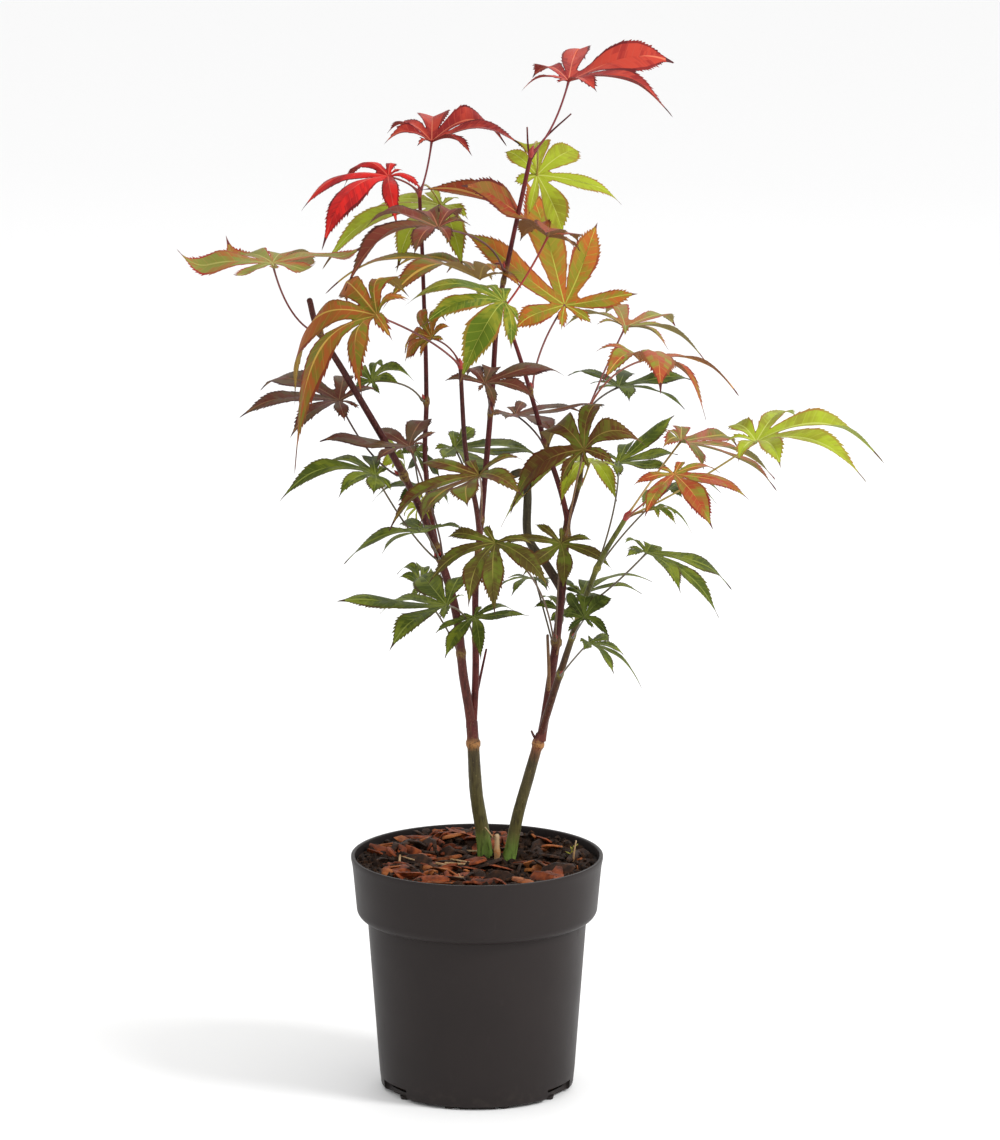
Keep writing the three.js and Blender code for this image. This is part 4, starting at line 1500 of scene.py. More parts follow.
@dataclass(frozen=True)
class Mass:
    """The leaves that one joint of a limb carries.

    Attributes:
        name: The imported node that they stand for, less "foliage_".
        bough: The bough that carries them, less "bough_".
        at: The share of its length where they spring.
        leaves: The leaves.
        collar: The wall of the collar round the limb in the source's rule.
        bud: The height of the bud on a limb's tip in the source's rule.
    """

    name: str
    bough: str
    at: float
    leaves: list[Leaf]
    collar: float = 1.5
    bud: float = 4.5

    def build(self, palette: Palette) -> None:
        """Makes the blades, one piece for each colour slot, and the stalks with their buds.

        Args:
            palette: The shared materials.
        """
        slots = sorted({leaf.tint.value.slot for leaf in self.leaves})
        for slot in slots:
            self._blades(slot, slot == slots[0], palette)
        self._stalks(palette)

    def _blades(self, slot: str, replaces: bool, palette: Palette) -> None:
        """Makes the blades that take one slot's finish.

        Args:
            slot: The record's slot.
            replaces: Whether this piece stands for the mass's node.
            palette: The shared materials.
        """
        leaves = [leaf for leaf in self.leaves if leaf.tint.value.slot == slot]
        tints = list(dict.fromkeys(leaf.tint for leaf in leaves))
        batch = Batch()
        for leaf in leaves:
            one = Batch()
            Blade(leaf).into(one)
            first = tints.index(leaf.tint) * len(Zone)
            batch.add(np.vstack(one.spots), one.faces, [first + zone for zone in one.zones])
        name = f"{slot.replace('leaf', 'blades')}_{self.name}"
        materials = [material for tint in tints for material in palette.tints[tint]]
        piece = object_from(name, batch.mesh(name, 42, weld=True), materials)
        dress(piece, slot, *([f"foliage_{self.name}"] if replaces else []))

    def _stalks(self, palette: Palette) -> None:
        """Makes the leaves' stalks with the small buds in their angles, or, at a limb's tip, the swollen
        tip that they spring from with its bud.

        Args:
            palette: The shared materials.
        """
        limb = LIMBS[f"bough_{self.bough}"]
        line = limb.line()
        along, joint = line.along(self.at), line.at(self.at)
        if self.at == 1:
            joint = joint + along * (GAP + self.bud / 2)
        outer = float(limb.radius(self.at)) + GAP + self.collar
        reach = 0.5 if self.at == 1 else outer - self.collar / 3
        batch = Batch()
        tints = list(dict.fromkeys(leaf.tint for leaf in self.leaves))
        if self.at == 1:
            self._tip_bud(batch, joint, along, limb.radii[1])
        core = float(limb.slender(np.array(self.at)))
        for leaf in self.leaves:
            self._stalk(batch, leaf, joint, along, reach, core, 1 + tints.index(leaf.tint))
        name = f"stalks_{self.name}"
        materials = [palette.bud, *(palette.stalks[tint] for tint in tints)]
        piece = object_from(name, batch.mesh(name, 50), materials)
        dress(piece, tints[0].value.slot)

    def _tip_bud(self, batch: Batch, joint: Array, along: Array, radius: float) -> None:
        """Adds the swollen tip of a limb with its pointed bud.

        Args:
            batch: The batch that takes it.
            joint: The middle of the bud.
            along: The limb's direction at its tip.
            radius: The limb's radius there.
        """
        foot = joint - along * (self.bud / 2 + 1)
        line = Line(np.stack([foot + along * run for run in np.linspace(0, 9.5, 20)]))
        run = np.linspace(0, 1, 15)
        radii = np.interp(run, (0, 0.12, 0.4, 0.55, 0.72, 0.9, 1),
                          (radius, radius * 1.15, radius + 0.9, radius + 0.5, radius * 0.85,
                           radius * 0.4, 0.15))
        batch.take(tube(line, radii, 10, (0.1, 0.4)))

    def _stalk(self, batch: Batch, leaf: Leaf, joint: Array, along: Array,
               reach: float, core: float, zone: int) -> None:
        """Adds one leaf's stalk, with the foot that clasps the limb and a bud in its angle.

        Args:
            batch: The batch that takes them.
            leaf: The leaf.
            joint: The spot on the limb's line where it springs.
            along: The limb's direction there.
            reach: How far from that line the stalk's foot stands.
            core: The limb's radius there.
            zone: The material number of its colour.
        """
        heart = np.array(leaf.heart, float)
        span = float(np.linalg.norm(heart - joint))
        aside = heart - joint
        aside = unit(aside - along * float(aside @ along))
        foot = joint + aside * reach
        bend = foot + along * (0.3 * span) + aside * (0.22 * span)
        bow = Line.bow(foot, bend, heart)
        inner = joint + aside * min(core * 0.4, reach)
        line = Line(np.vstack([inner[None], bow.spots[1:]]))
        steps = max(8, round(line.length / 4))
        share = np.linspace(0, 1, steps + 1)
        run = share * line.length
        radii = STALK_RADIUS + STALK_GROWTH * leaf.span / USUAL_SPAN
        for (growth, spread), away in ((STALK_FOOT, run), (STALK_HEAD, line.length - run)):
            radii = radii + growth * np.exp(-((away / spread) ** 2))
        batch.take(tube(line, radii, 8, (0.1, 0.3)), zone)
        if self.at < 1:
            base = joint + aside * (core + 0.9) + along * 1.6
            tip = base + along * 4.2 + aside * 1.3
            bud = Line(np.linspace(base, tip, 8))
            batch.take(tube(bud, np.array(SIDE_BUD), 6, (0.3, 0.3)))


# ------------ pot and compost


def spun(profile: Spots, steps: int) -> Shape:
    """Turns a profile about the Z axis into a closed shape.

    Args:
        profile: Radius and height along the shape's skin, from the axis round to the axis.
        steps: The number of steps round.

    Returns:
        The closed shape.
    """
    shape = bmesh.new()
    verts = [shape.verts.new((radius, 0, height)) for radius, height in profile]
    edges = [shape.edges.new(pair) for pair in zip(verts, verts[1:])]
    ops.spin(shape, geom=verts + edges, axis=(0, 0, 1), cent=(0, 0, 0),
                   angle=2 * math.pi, steps=steps, use_merge=True)
    ops.remove_doubles(shape, verts=shape.verts, dist=1e-4)
    ops.recalc_face_normals(shape, faces=shape.faces)
    return shape


def arc(centre: Pair, radius: float, start: float, end: float, steps: int) -> Spots:
    """Gives points along an arc between two angles in degrees."""
    turns = [math.radians(start + (end - start) * k / steps) for k in range(steps + 1)]
    return [(centre[0] + radius * math.cos(t), centre[1] + radius * math.sin(t)) for t in turns]


@dataclass
class Pot:
    """A plain round nursery pot with a deep upright band at its rim and notches at its foot.

    Attributes:
        rim_radius: The radius over the rim. It is not used.
        height: The pot's height.
        wall: The thickness of its wall. It is not used.
        band_height: The height of the band.
        band_foot: The radius of the band at its foot.
        band_round: The radius of the rounding under the band.
        body_top: The radius of the body under the band.
        body_foot: The radius at the foot.
        notch_turns: The bearings of the drain notches in degrees.
        notch_width: Their width.
        notch_height: Their height.
        notch_depth: How far they reach through the foot, from side to side of the wall.
        notch_inset: How far inside the foot's radius their middles lie.
        pads: The number of small pads that the pot stands on.
        pad_ring: The radius of the ring of pads.
        pad_radii: A pad's radius at its foot and at its head.
        pad_height: Its height.
        bar: The width and depth of the bar between the two pads in front.
        bar_inset: How far inside the ring of pads its middle lies.
        steps: The number of steps round.
    """

    rim_radius: float = 95
    height: float = 180
    wall: float = 2
    band_height: float = 48
    band_foot: float = 90.9
    band_round: float = 8
    body_top: float = 82.7
    body_foot: float = 72.8
    notch_turns: tuple[float, ...] = (90, 210, 330)
    notch_width: float = 34
    notch_height: float = 10
    notch_depth: float = 9
    notch_inset: float = 0.4
    pads: int = 10
    pad_ring: float = 66.4
    pad_radii: Pair = (3.6, 4.2)
    pad_height: float = 2.6
    bar: Pair = (27, 4)
    bar_inset: float = 0.6
    steps: int = 160

    def profile(self) -> Spots:
        """Gives the pot's skin, from the middle of its underside out, up and back in.

        Returns:
            Radii and heights.
        """
        step = self.height - self.band_height
        outer = [(0, 0), (17.4, 0), (18.2, 0.3), (20, 2), (self.body_foot - 6.6, 2)]
        outer += arc((self.body_foot - 2.4, 4.4), 2.4, -90, -8, 5)
        outer += [(self.body_foot + (self.body_top - self.body_foot) * k / 8, step * k / 8)
                  for k in range(1, 8)]
        outer += [(self.body_top - 0.2, step - 3)]
        outer += arc((self.body_top + 1.3, step - 1.5), 1.5, 180, 90, 3)[1:]
        outer += arc((self.band_foot - self.band_round, step + self.band_round),
                     self.band_round, -80, 0, 8)
        outer += [(93.1, 164), (94, 172.5), (94.6, 175.5), (95, 177.4), (95, 178.6)]
        outer += arc((94.4, 179.4), 0.6, 0, 90, 3)
        inner = [(93, 180), (92.3, 179.5), (92, 178), (91.7, 168), (90.2, 148), (88.9, 140),
                 (86, 136), (82.4, 134.4), (80.7, 132), (80.3, 128), (76, 74), (71.2, 10.5),
                 (68.5, 5.6), (60, 4.5), (0, 4.5)]
        return outer + inner

    def build(self) -> None:
        """Makes the pot with its notches and the pads that it stands on."""
        pot = self._object("pot_shell", spun(self.profile(), self.steps))
        notches = self._object("pot_notches", self._notches())
        feet = self._object("pot_pads", self._pads())
        for other, operation in ((notches, "DIFFERENCE"), (feet, "UNION")):
            change = pot.modifiers.new(operation.lower(), "BOOLEAN")
            change.operation, change.object, change.solver = operation, other, "EXACT"
        graph = bpy.context.evaluated_depsgraph_get()
        mesh = bpy.data.meshes.new_from_object(pot.evaluated_get(graph))
        for thing in (pot, notches, feet):
            bpy.data.objects.remove(thing)
        mesh.shade_smooth()
        mesh.set_sharp_from_angle(angle=math.radians(32))
        mesh.materials.clear()
        piece = object_from("pot_body", mesh, [PlasticFinish().material()])
        dress(piece, "pot", "pot")

    def _notches(self) -> Shape:
        """Makes the blocks that are cut out of the foot.

        Returns:
            The blocks.
        """
        shape = bmesh.new()
        for turn in self.notch_turns:
            made = ops.create_cube(shape, size=1)["verts"]
            size = (self.notch_depth, self.notch_width, self.notch_height * 2)
            ops.scale(shape, vec=size, verts=made)
            ops.translate(shape, vec=(self.body_foot - self.notch_inset, 0, 0), verts=made)
            ops.rotate(shape, cent=(0, 0, 0), verts=made,
                             matrix=Matrix.Rotation(math.radians(turn), 3, "Z"))
        bevel(shape, 1.2, 2)
        return shape

    def _pads(self) -> Shape:
        """Makes the pads that the pot stands on, with the bar between the two in front.

        Returns:
            The pads.
        """
        shape = bmesh.new()
        low, high = self.pad_radii
        middle = self.pad_height / 2
        for k in range(self.pads):
            turn = math.radians(-90 + 360 / self.pads * (k + 0.5))
            made = ops.create_cone(shape, cap_ends=True, segments=20, radius1=low,
                                         radius2=high, depth=self.pad_height)["verts"]
            ops.translate(shape, vec=(*polar(self.pad_ring, turn), middle), verts=made)
        made = ops.create_cube(shape, size=1)["verts"]
        ops.scale(shape, vec=(*self.bar, self.pad_height), verts=made)
        ops.translate(shape, vec=(0, self.bar_inset - self.pad_ring, middle), verts=made)
        return shape

    @staticmethod
    def _object(name: str, shape: Shape) -> Object:
        """Makes a working object from a shape."""
        ops.scale(shape, vec=(MM, MM, MM), verts=shape.verts)
        return bare_object(name, shape)


# The share of chips up to each kind.
CHIP_DEAL = ((0.46, Earth.RED_CHIP), (0.64, Earth.ORANGE_CHIP), (1.0, Earth.BROWN_CHIP))


@dataclass
class Compost:
    """Moist bark compost with crumbs, chips and straws lying on it.

    Attributes:
        top: The mean height of its surface.
        radius: Its radius at that height.
        lumps: How far its surface rises and falls.
        rise: How far it is heaped up against the pot's wall.
        chips: The number of bark chips.
        crumbs: The number of crumbs.
        straws: The number of pale straws.
        feet: Where stems rise through it, which chips keep clear of.
        clear: How far they keep clear.
        limit: How far chips may stand out of it.
        chip_seeds: The first seed of the chips, and the step to the next.
        crumb_seeds: The same for the crumbs.
        straw_seeds: The same for the straws.
        layers: Its unevenness from broad to fine, each by pitch, level and height.
        rings: The number of rings of points on its surface.
    """

    top: float = GROUND
    radius: float = 91.2
    lumps: float = 2.4
    rise: float = 6.4
    chips: int = 165
    crumbs: int = 1300
    straws: int = 9
    feet: Pairs = ((7, 32), (23, 27), (15, 22))
    clear: float = 13
    limit: float = 11.2
    chip_seeds: Pair = (40, 1.37)
    crumb_seeds: Pair = (900, 0.73)
    straw_seeds: Pair = (500, 2.9)
    layers: tuple[Triple, ...] = ((0.035, 3.1, 1.5), (0.12, 7.7, 0.9), (0.4, 1.7, 0.45))
    rings: int = 46

    def _near(self, x: float, y: float) -> float:
        """Gives the distance from a spot to the nearest stem."""
        return min(math.hypot(x - foot_x, y - foot_y) for foot_x, foot_y in self.feet)

    def relief(self, x: float, y: float) -> float:
        """Gives the height of its surface at a spot.

        Args:
            x: The spot's place to the right.
            y: Its place to the back.

        Returns:
            The height.
        """
        uneven = sum(height * soft_noise(x * pitch, y * pitch, level)
                     for pitch, level, height in self.layers)
        mound = 0.7 * math.exp(-((self._near(x, y) / 22) ** 2))
        heap = self.rise * float(smooth(30, 84, math.hypot(x, y)))
        return self.top + self.lumps * 0.5 * uneven + mound + heap

    def build(self) -> None:
        """Makes the bed and everything that lies on it."""
        self._bed()
        chips = {kind: [] for _, kind in CHIP_DEAL}
        for kind, shape in map(self._chip, range(self.chips)):
            chips[kind].append(shape)
        for kind, shapes in chips.items():
            self._piece(f"compost_{kind.name.lower()}s", shapes, kind)
        self._piece("compost_crumbs", list(map(self._crumb, range(self.crumbs))), Earth.SOIL)
        self._piece("compost_straws", list(map(self._straw, range(self.straws))), Earth.STRAW)
        self._piece("compost_round_chip", [self._round_chip()], Earth.ROUND_CHIP)
        self._piece("compost_sprig", self._sprig(), Earth.SPRIG)

    @staticmethod
    def _piece(name: str, shapes: list[Shape], kind: Earth, sharp_degrees: float = 40,
               *nodes: str) -> None:
        """Makes one finished piece of what lies in the pot.

        Args:
            name: The piece's name.
            shapes: Its closed shapes, which are freed.
            kind: Its finish.
            sharp_degrees: The angle past which an edge stays sharp.
            *nodes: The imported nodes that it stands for, if any.
        """
        batch = Batch()
        for shape in shapes:
            batch.take(shape)
        piece = object_from(name, batch.mesh(name, sharp_degrees), [kind.value.material(name)])
        dress(piece, "compost", *nodes)

    def _bed(self) -> None:
        """Makes the compost itself, filling the pot to its uneven top."""
        profile = [(0, 5.4), (58, 5.4), (67.5, 6.6), (70.2, 11.5), (75.2, 74), (79.4, 127),
                   (80, 134), (84, 136.6), (88, 141.5), (89.5, 149)]
        profile += [(self.radius - 0.5, self.top - 6), (self.radius, self.top - 1.5)]
        profile += [(self.radius * (1 - k / self.rings), self.top) for k in range(self.rings + 1)]
        shape = spun(profile, 132)
        for vert in shape.verts:
            if vert.co.z > self.top - 0.5:
                away = math.hypot(vert.co.x, vert.co.y)
                edge = float(smooth(self.radius, self.radius - 6, away)) if away > 80 else 1.0
                vert.co.z = self.relief(vert.co.x, vert.co.y) - 1.2 * (1 - edge)
        self._piece("compost_bed", [shape], Earth.SOIL, 70, "compost")

    def _spot(self, number: float, spread: float = 84) -> Pair:
        """Gives a spot on the bed, clear of the stems.

        Args:
            number: The seed of the spot.
            spread: How far out it may lie.

        Returns:
            The spot.
        """
        for extra in range(20):
            away = spread * math.sqrt(chance(number, 1 + extra * 3))
            x, y = polar(away, bearing(number, 2 + extra * 3))
            sparse = 0.55 * float(smooth(-10, 40, x)) + (0.3 if math.hypot(x - 10, y + 18) < 26 else 0)
            if self._near(x, y) > self.clear and chance(number, 3 + extra * 3) > sparse:
                return x, y
        return x, y

    def _chip(self, number: int) -> tuple[Earth, Shape]:
        """Makes one split and weathered slab of bark.

        Args:
            number: Which chip it is.

        Returns:
            Its kind and its shape.
        """
        seed = self.chip_seeds[0] + number * self.chip_seeds[1]
        length = 12 + 21 * chance(seed, 4) ** 1.2
        width = length * (0.34 + 0.4 * chance(seed, 5))
        height = 1.0 + 1.5 * chance(seed, 6)
        shape = bmesh.new()
        corners = ops.create_circle(shape, cap_ends=True, segments=7, radius=0.5)["verts"]
        for k, vert in enumerate(corners):
            vert.co.x *= length * (0.75 + 0.5 * chance(seed, 10 + k))
            vert.co.y *= width * (0.7 + 0.6 * chance(seed, 20 + k))
        grown = ops.extrude_face_region(shape, geom=shape.faces[:])["geom"]
        raised = [g for g in grown if isinstance(g, bmesh.types.BMVert)]
        for k, vert in enumerate(raised):
            vert.co.z += height * (0.7 + 0.6 * chance(seed, 30 + k))
            vert.co.x *= 0.9
            vert.co.y *= 0.86
        ops.recalc_face_normals(shape, faces=shape.faces)
        bevel(shape, 0.22 * height, 1, clamp=True)
        x, y = self._spot(seed)
        room = self.radius - 2 - length / 2
        if math.hypot(x, y) > room:
            scale = room / max(math.hypot(x, y), 1)
            x, y = x * scale, y * scale
        turn = Matrix.Rotation(bearing(seed, 7), 4, "Z")
        tilt = Matrix.Rotation(2.4 * (chance(seed, 8) - 0.5), 4, "X")
        pitch = Matrix.Rotation(1.2 * (chance(seed, 9) - 0.5), 4, "Y")
        lift = self.relief(x, y) + 2.8 * chance(seed, 12) - 0.6
        shape.transform(Matrix.Translation((x, y, lift)) @ turn @ tilt @ pitch)
        for vert in shape.verts:
            vert.co.z = min(vert.co.z, self.top + self.limit)
        deal = chance(seed, 11)
        return next(kind for share, kind in CHIP_DEAL if deal < share), shape

    def _crumb(self, number: int) -> Shape:
        """Makes one crumb of compost.

        Args:
            number: Which crumb it is.

        Returns:
            Its shape.
        """
        seed = self.crumb_seeds[0] + number * self.crumb_seeds[1]
        shape = bmesh.new()
        size = 0.7 + 3.1 * chance(seed, 1) ** 3
        ops.create_icosphere(shape, subdivisions=1, radius=size)
        x, y = polar((self.radius - 3) * math.sqrt(chance(seed, 2)), bearing(seed, 3))
        for k, vert in enumerate(shape.verts):
            vert.co *= 0.7 + 0.6 * chance(seed, 5 + k)
        shape.transform(Matrix.Translation((x, y, self.relief(x, y) + size * 0.25)))
        return shape

    def _straw(self, number: int) -> Shape:
        """Makes one pale straw that lies on the chips.

        Args:
            number: Which straw it is.

        Returns:
            Its shape.
        """
        seed = self.straw_seeds[0] + number * self.straw_seeds[1]
        x, y = self._spot(seed, 68)
        length = 12 + 22 * chance(seed, 5)
        way = np.array((*polar(1, bearing(seed, 4)), 0.02))
        aside = np.array((-way[1], way[0], 0)) * length * 0.12 * (chance(seed, 6) - 0.5)
        foot = np.array((x, y, self.relief(x, y) + 3.4)) - way * length / 2
        line = Line.bow(foot, foot + way * length / 2 + aside, foot + way * length)
        return tube(line, np.full(9, 0.4 + 0.5 * chance(seed, 7)), 6)

    def _round_chip(self) -> Shape:
        """Makes the flat round chip of bark near the right of the stems.

        Returns:
            Its shape.
        """
        shape = bmesh.new()
        sides = 22
        ops.create_cone(shape, cap_ends=True, segments=sides, radius1=7.2, radius2=6.4, depth=2.6)
        for k, vert in enumerate(shape.verts):
            vert.co.x *= 1 + 0.14 * (chance(3.3, k % sides) - 0.5)
            vert.co.y *= 0.85
        bevel(shape, 0.6, 2)
        shape.transform(Matrix.Translation((42, -16, self.top + 2.6)) @ Matrix.Rotation(-0.35, 4, "X"))
        return shape

    def _sprig(self) -> list[Shape]:
        """Makes the stem and the needles of the small green sprig that has come up at the edge.

        Returns:
            Their shapes.
        """
        root = np.array((68.0, 10.0, self.top - 1))
        stem = Line.bow(root, root + np.array((2, -1, 9)), root + np.array((5, -3, 17)))
        shapes = [tube(stem, np.linspace(0.6, 0.3, 9), 6)]
        for k in range(9):
            spot, way = stem.at(0.25 + k * 0.085), np.array((0, 0, 0.7))
            aside = np.array((*polar(1, 2.4 * k), 0))
            needle = Line.bow(spot, spot + aside * 2.4 + way, spot + aside * 4 + way * 3)
            shapes.append(tube(needle, np.array((0.3, 0.55, 0.5, 0.12)), 5))
        return shapes


# ------------ the plant's tables


TRUNKS_AND_BOUGHS = [
    Limb("trunk_left", [(7, 32, 164), (3, 31, 196), (-1, 30, 224), (-3, 28, 259), (-4, 28, 276)],
        (5.5, 4.4), Bark.GREEN, ((0.85, 0.32),), 1.22, sides=20),
    Limb("trunk_right", [(23, 27, 164), (30, 26, 200), (40, 25, 238), (48, 23, 267)], (4.7, 3.9),
        Bark.GREEN, ((0.93, 0.35),), 1.3, sides=20),
    Limb("bough_tall", [(-3.6, 28.5, 272), (-3, 29, 277), (-1, 35, 312), (-1, 36, 382), (4, 34, 439),
        (11, 30, 523), (16, 26, 592), (25, 23, 638), (40, 20, 709)], (2.8, 1.6), Bark.MAROON, ((0.31, 0.3),
        (0.78, 0.3)), collar=0.45),
    Limb("bough_outer_left", [(-4.2, 28, 272), (-5, 28, 278), (-10, 24, 311), (-16, 16, 364), (-30, 6, 414),
        (-51, -10, 467), (-97, -35, 555), (-118, -42, 593), (-123, -46, 613)], (3.6, 2.2), Bark.BROWN,
        ((0.4, 0.3), (0.57, 0.25), (0.93, 0.4)), collar=0.2),
    Limb("bough_back_left", [(-30, 7, 413), (-35, 26, 440), (-39, 45, 476), (-38, 58, 519), (-41, 70, 626),
        (-43, 72, 670)], (2.1, 1.4), Bark.MAROON, ((0.43, 0.35),), collar=0.4),
    Limb("bough_front", [(2, 34, 420), (-1, 14, 447), (-8, -4, 488), (-12, -26, 558)], (2.1, 1.6),
        Bark.BROWN, (), collar=0.3),
    Limb("bough_right", [(48, 23, 263), (49, 23, 268), (56, 32, 310), (60, 40, 338), (64, 48, 373),
        (68, 60, 424)], (3.5, 2.8), Bark.BROWN, ((0.45, 0.3), (0.95, 0.3)), collar=0.2),
    Limb("bough_right_inner", [(68, 60, 422), (68, 60, 425), (63, 60, 447), (51, 54, 486), (35, 42, 544),
        (27, 34, 570)], (2.2, 1.5), Bark.MAROON, ((0.7, 0.3),), collar=0.3),
    Limb("bough_right_upper", [(68, 60, 423), (77, 65, 452), (80, 68, 477), (83, 66, 505)], (2.1, 1.6),
        Bark.LEAFY, (), collar=0.3),
    Limb("bough_outer_right", [(48, 23, 262), (48, 23, 266), (57, 10, 300), (65, 0, 328), (82, -24, 386),
        (92, -34, 414), (110, -46, 448)], (3.0, 1.8), Bark.LEAFY, ((0.55, 0.25), (0.77, 0.35)), collar=0.2),
    Limb("branch_pruned", [(65, 50, 372), (51, 56, 393), (39, 58, 411), (38, 58, 446), (37, 58, 457),
        (33, 58, 461.5), (27, 58, 460)], (3.4, 3.1), Bark.PRUNED, ((0.92, 0.15),), collar=0.2),
    Limb("twig_bare", [(-3, 31, 285), (2, 44, 305), (7, 50, 327)], (1.3, 0.8), Bark.MAROON, sides=10),
    Limb("twig_dead_inner", [(54, 28, 300), (54, 16, 318), (53, 10, 347)], (1.5, 1.1), Bark.DEAD, sides=10),
    Limb("stub_dead", [(15, 22, 164), (15, 22, 176), (15, 22, 189)], (2.3, 1.8), Bark.STUB, ((0.5, 0.35),),
        sides=14),
]

SPROUTS = [
    Sprout("petiole_bare_high", [(39.6, 20.1, 705), (38, 20, 718), (37.4, 20, 731)], (0.95, 0.6),
        Bark.MAROON),
    Sprout("petiole_bare_right", [(39.8, 20.1, 706), (50, 20, 722), (70, 20, 741)], (0.95, 0.55),
        Bark.MAROON),
    Sprout("bud_left_spike", [(-117.5, -42.4, 591), (-115.6, -43, 598), (-114.5, -43, 605)], (1.3, 0.35),
        Bark.BROWN),
    Sprout("stub_fork_right", [(46, 22.6, 262), (43, 22, 266), (41, 21, 270.5)], (1.3, 0.8), Bark.BROWN),
    Sprout("twig_dead_outer", [(58.6, 35.8, 323), (61, 33, 331), (62, 32, 341)], (0.9, 0.5), Bark.DEAD),
    Sprout("stub_strand", [(14.6, 22, 184), (10, 23, 190), (6, 24, 195)], (0.7, 0.35), Bark.STUB),
    Sprout("stick_pale", [(72, -2, 170), (73, -2, 181), (74.6, -2, 191)], (0.9, 0.5), Bark.STUB),
]

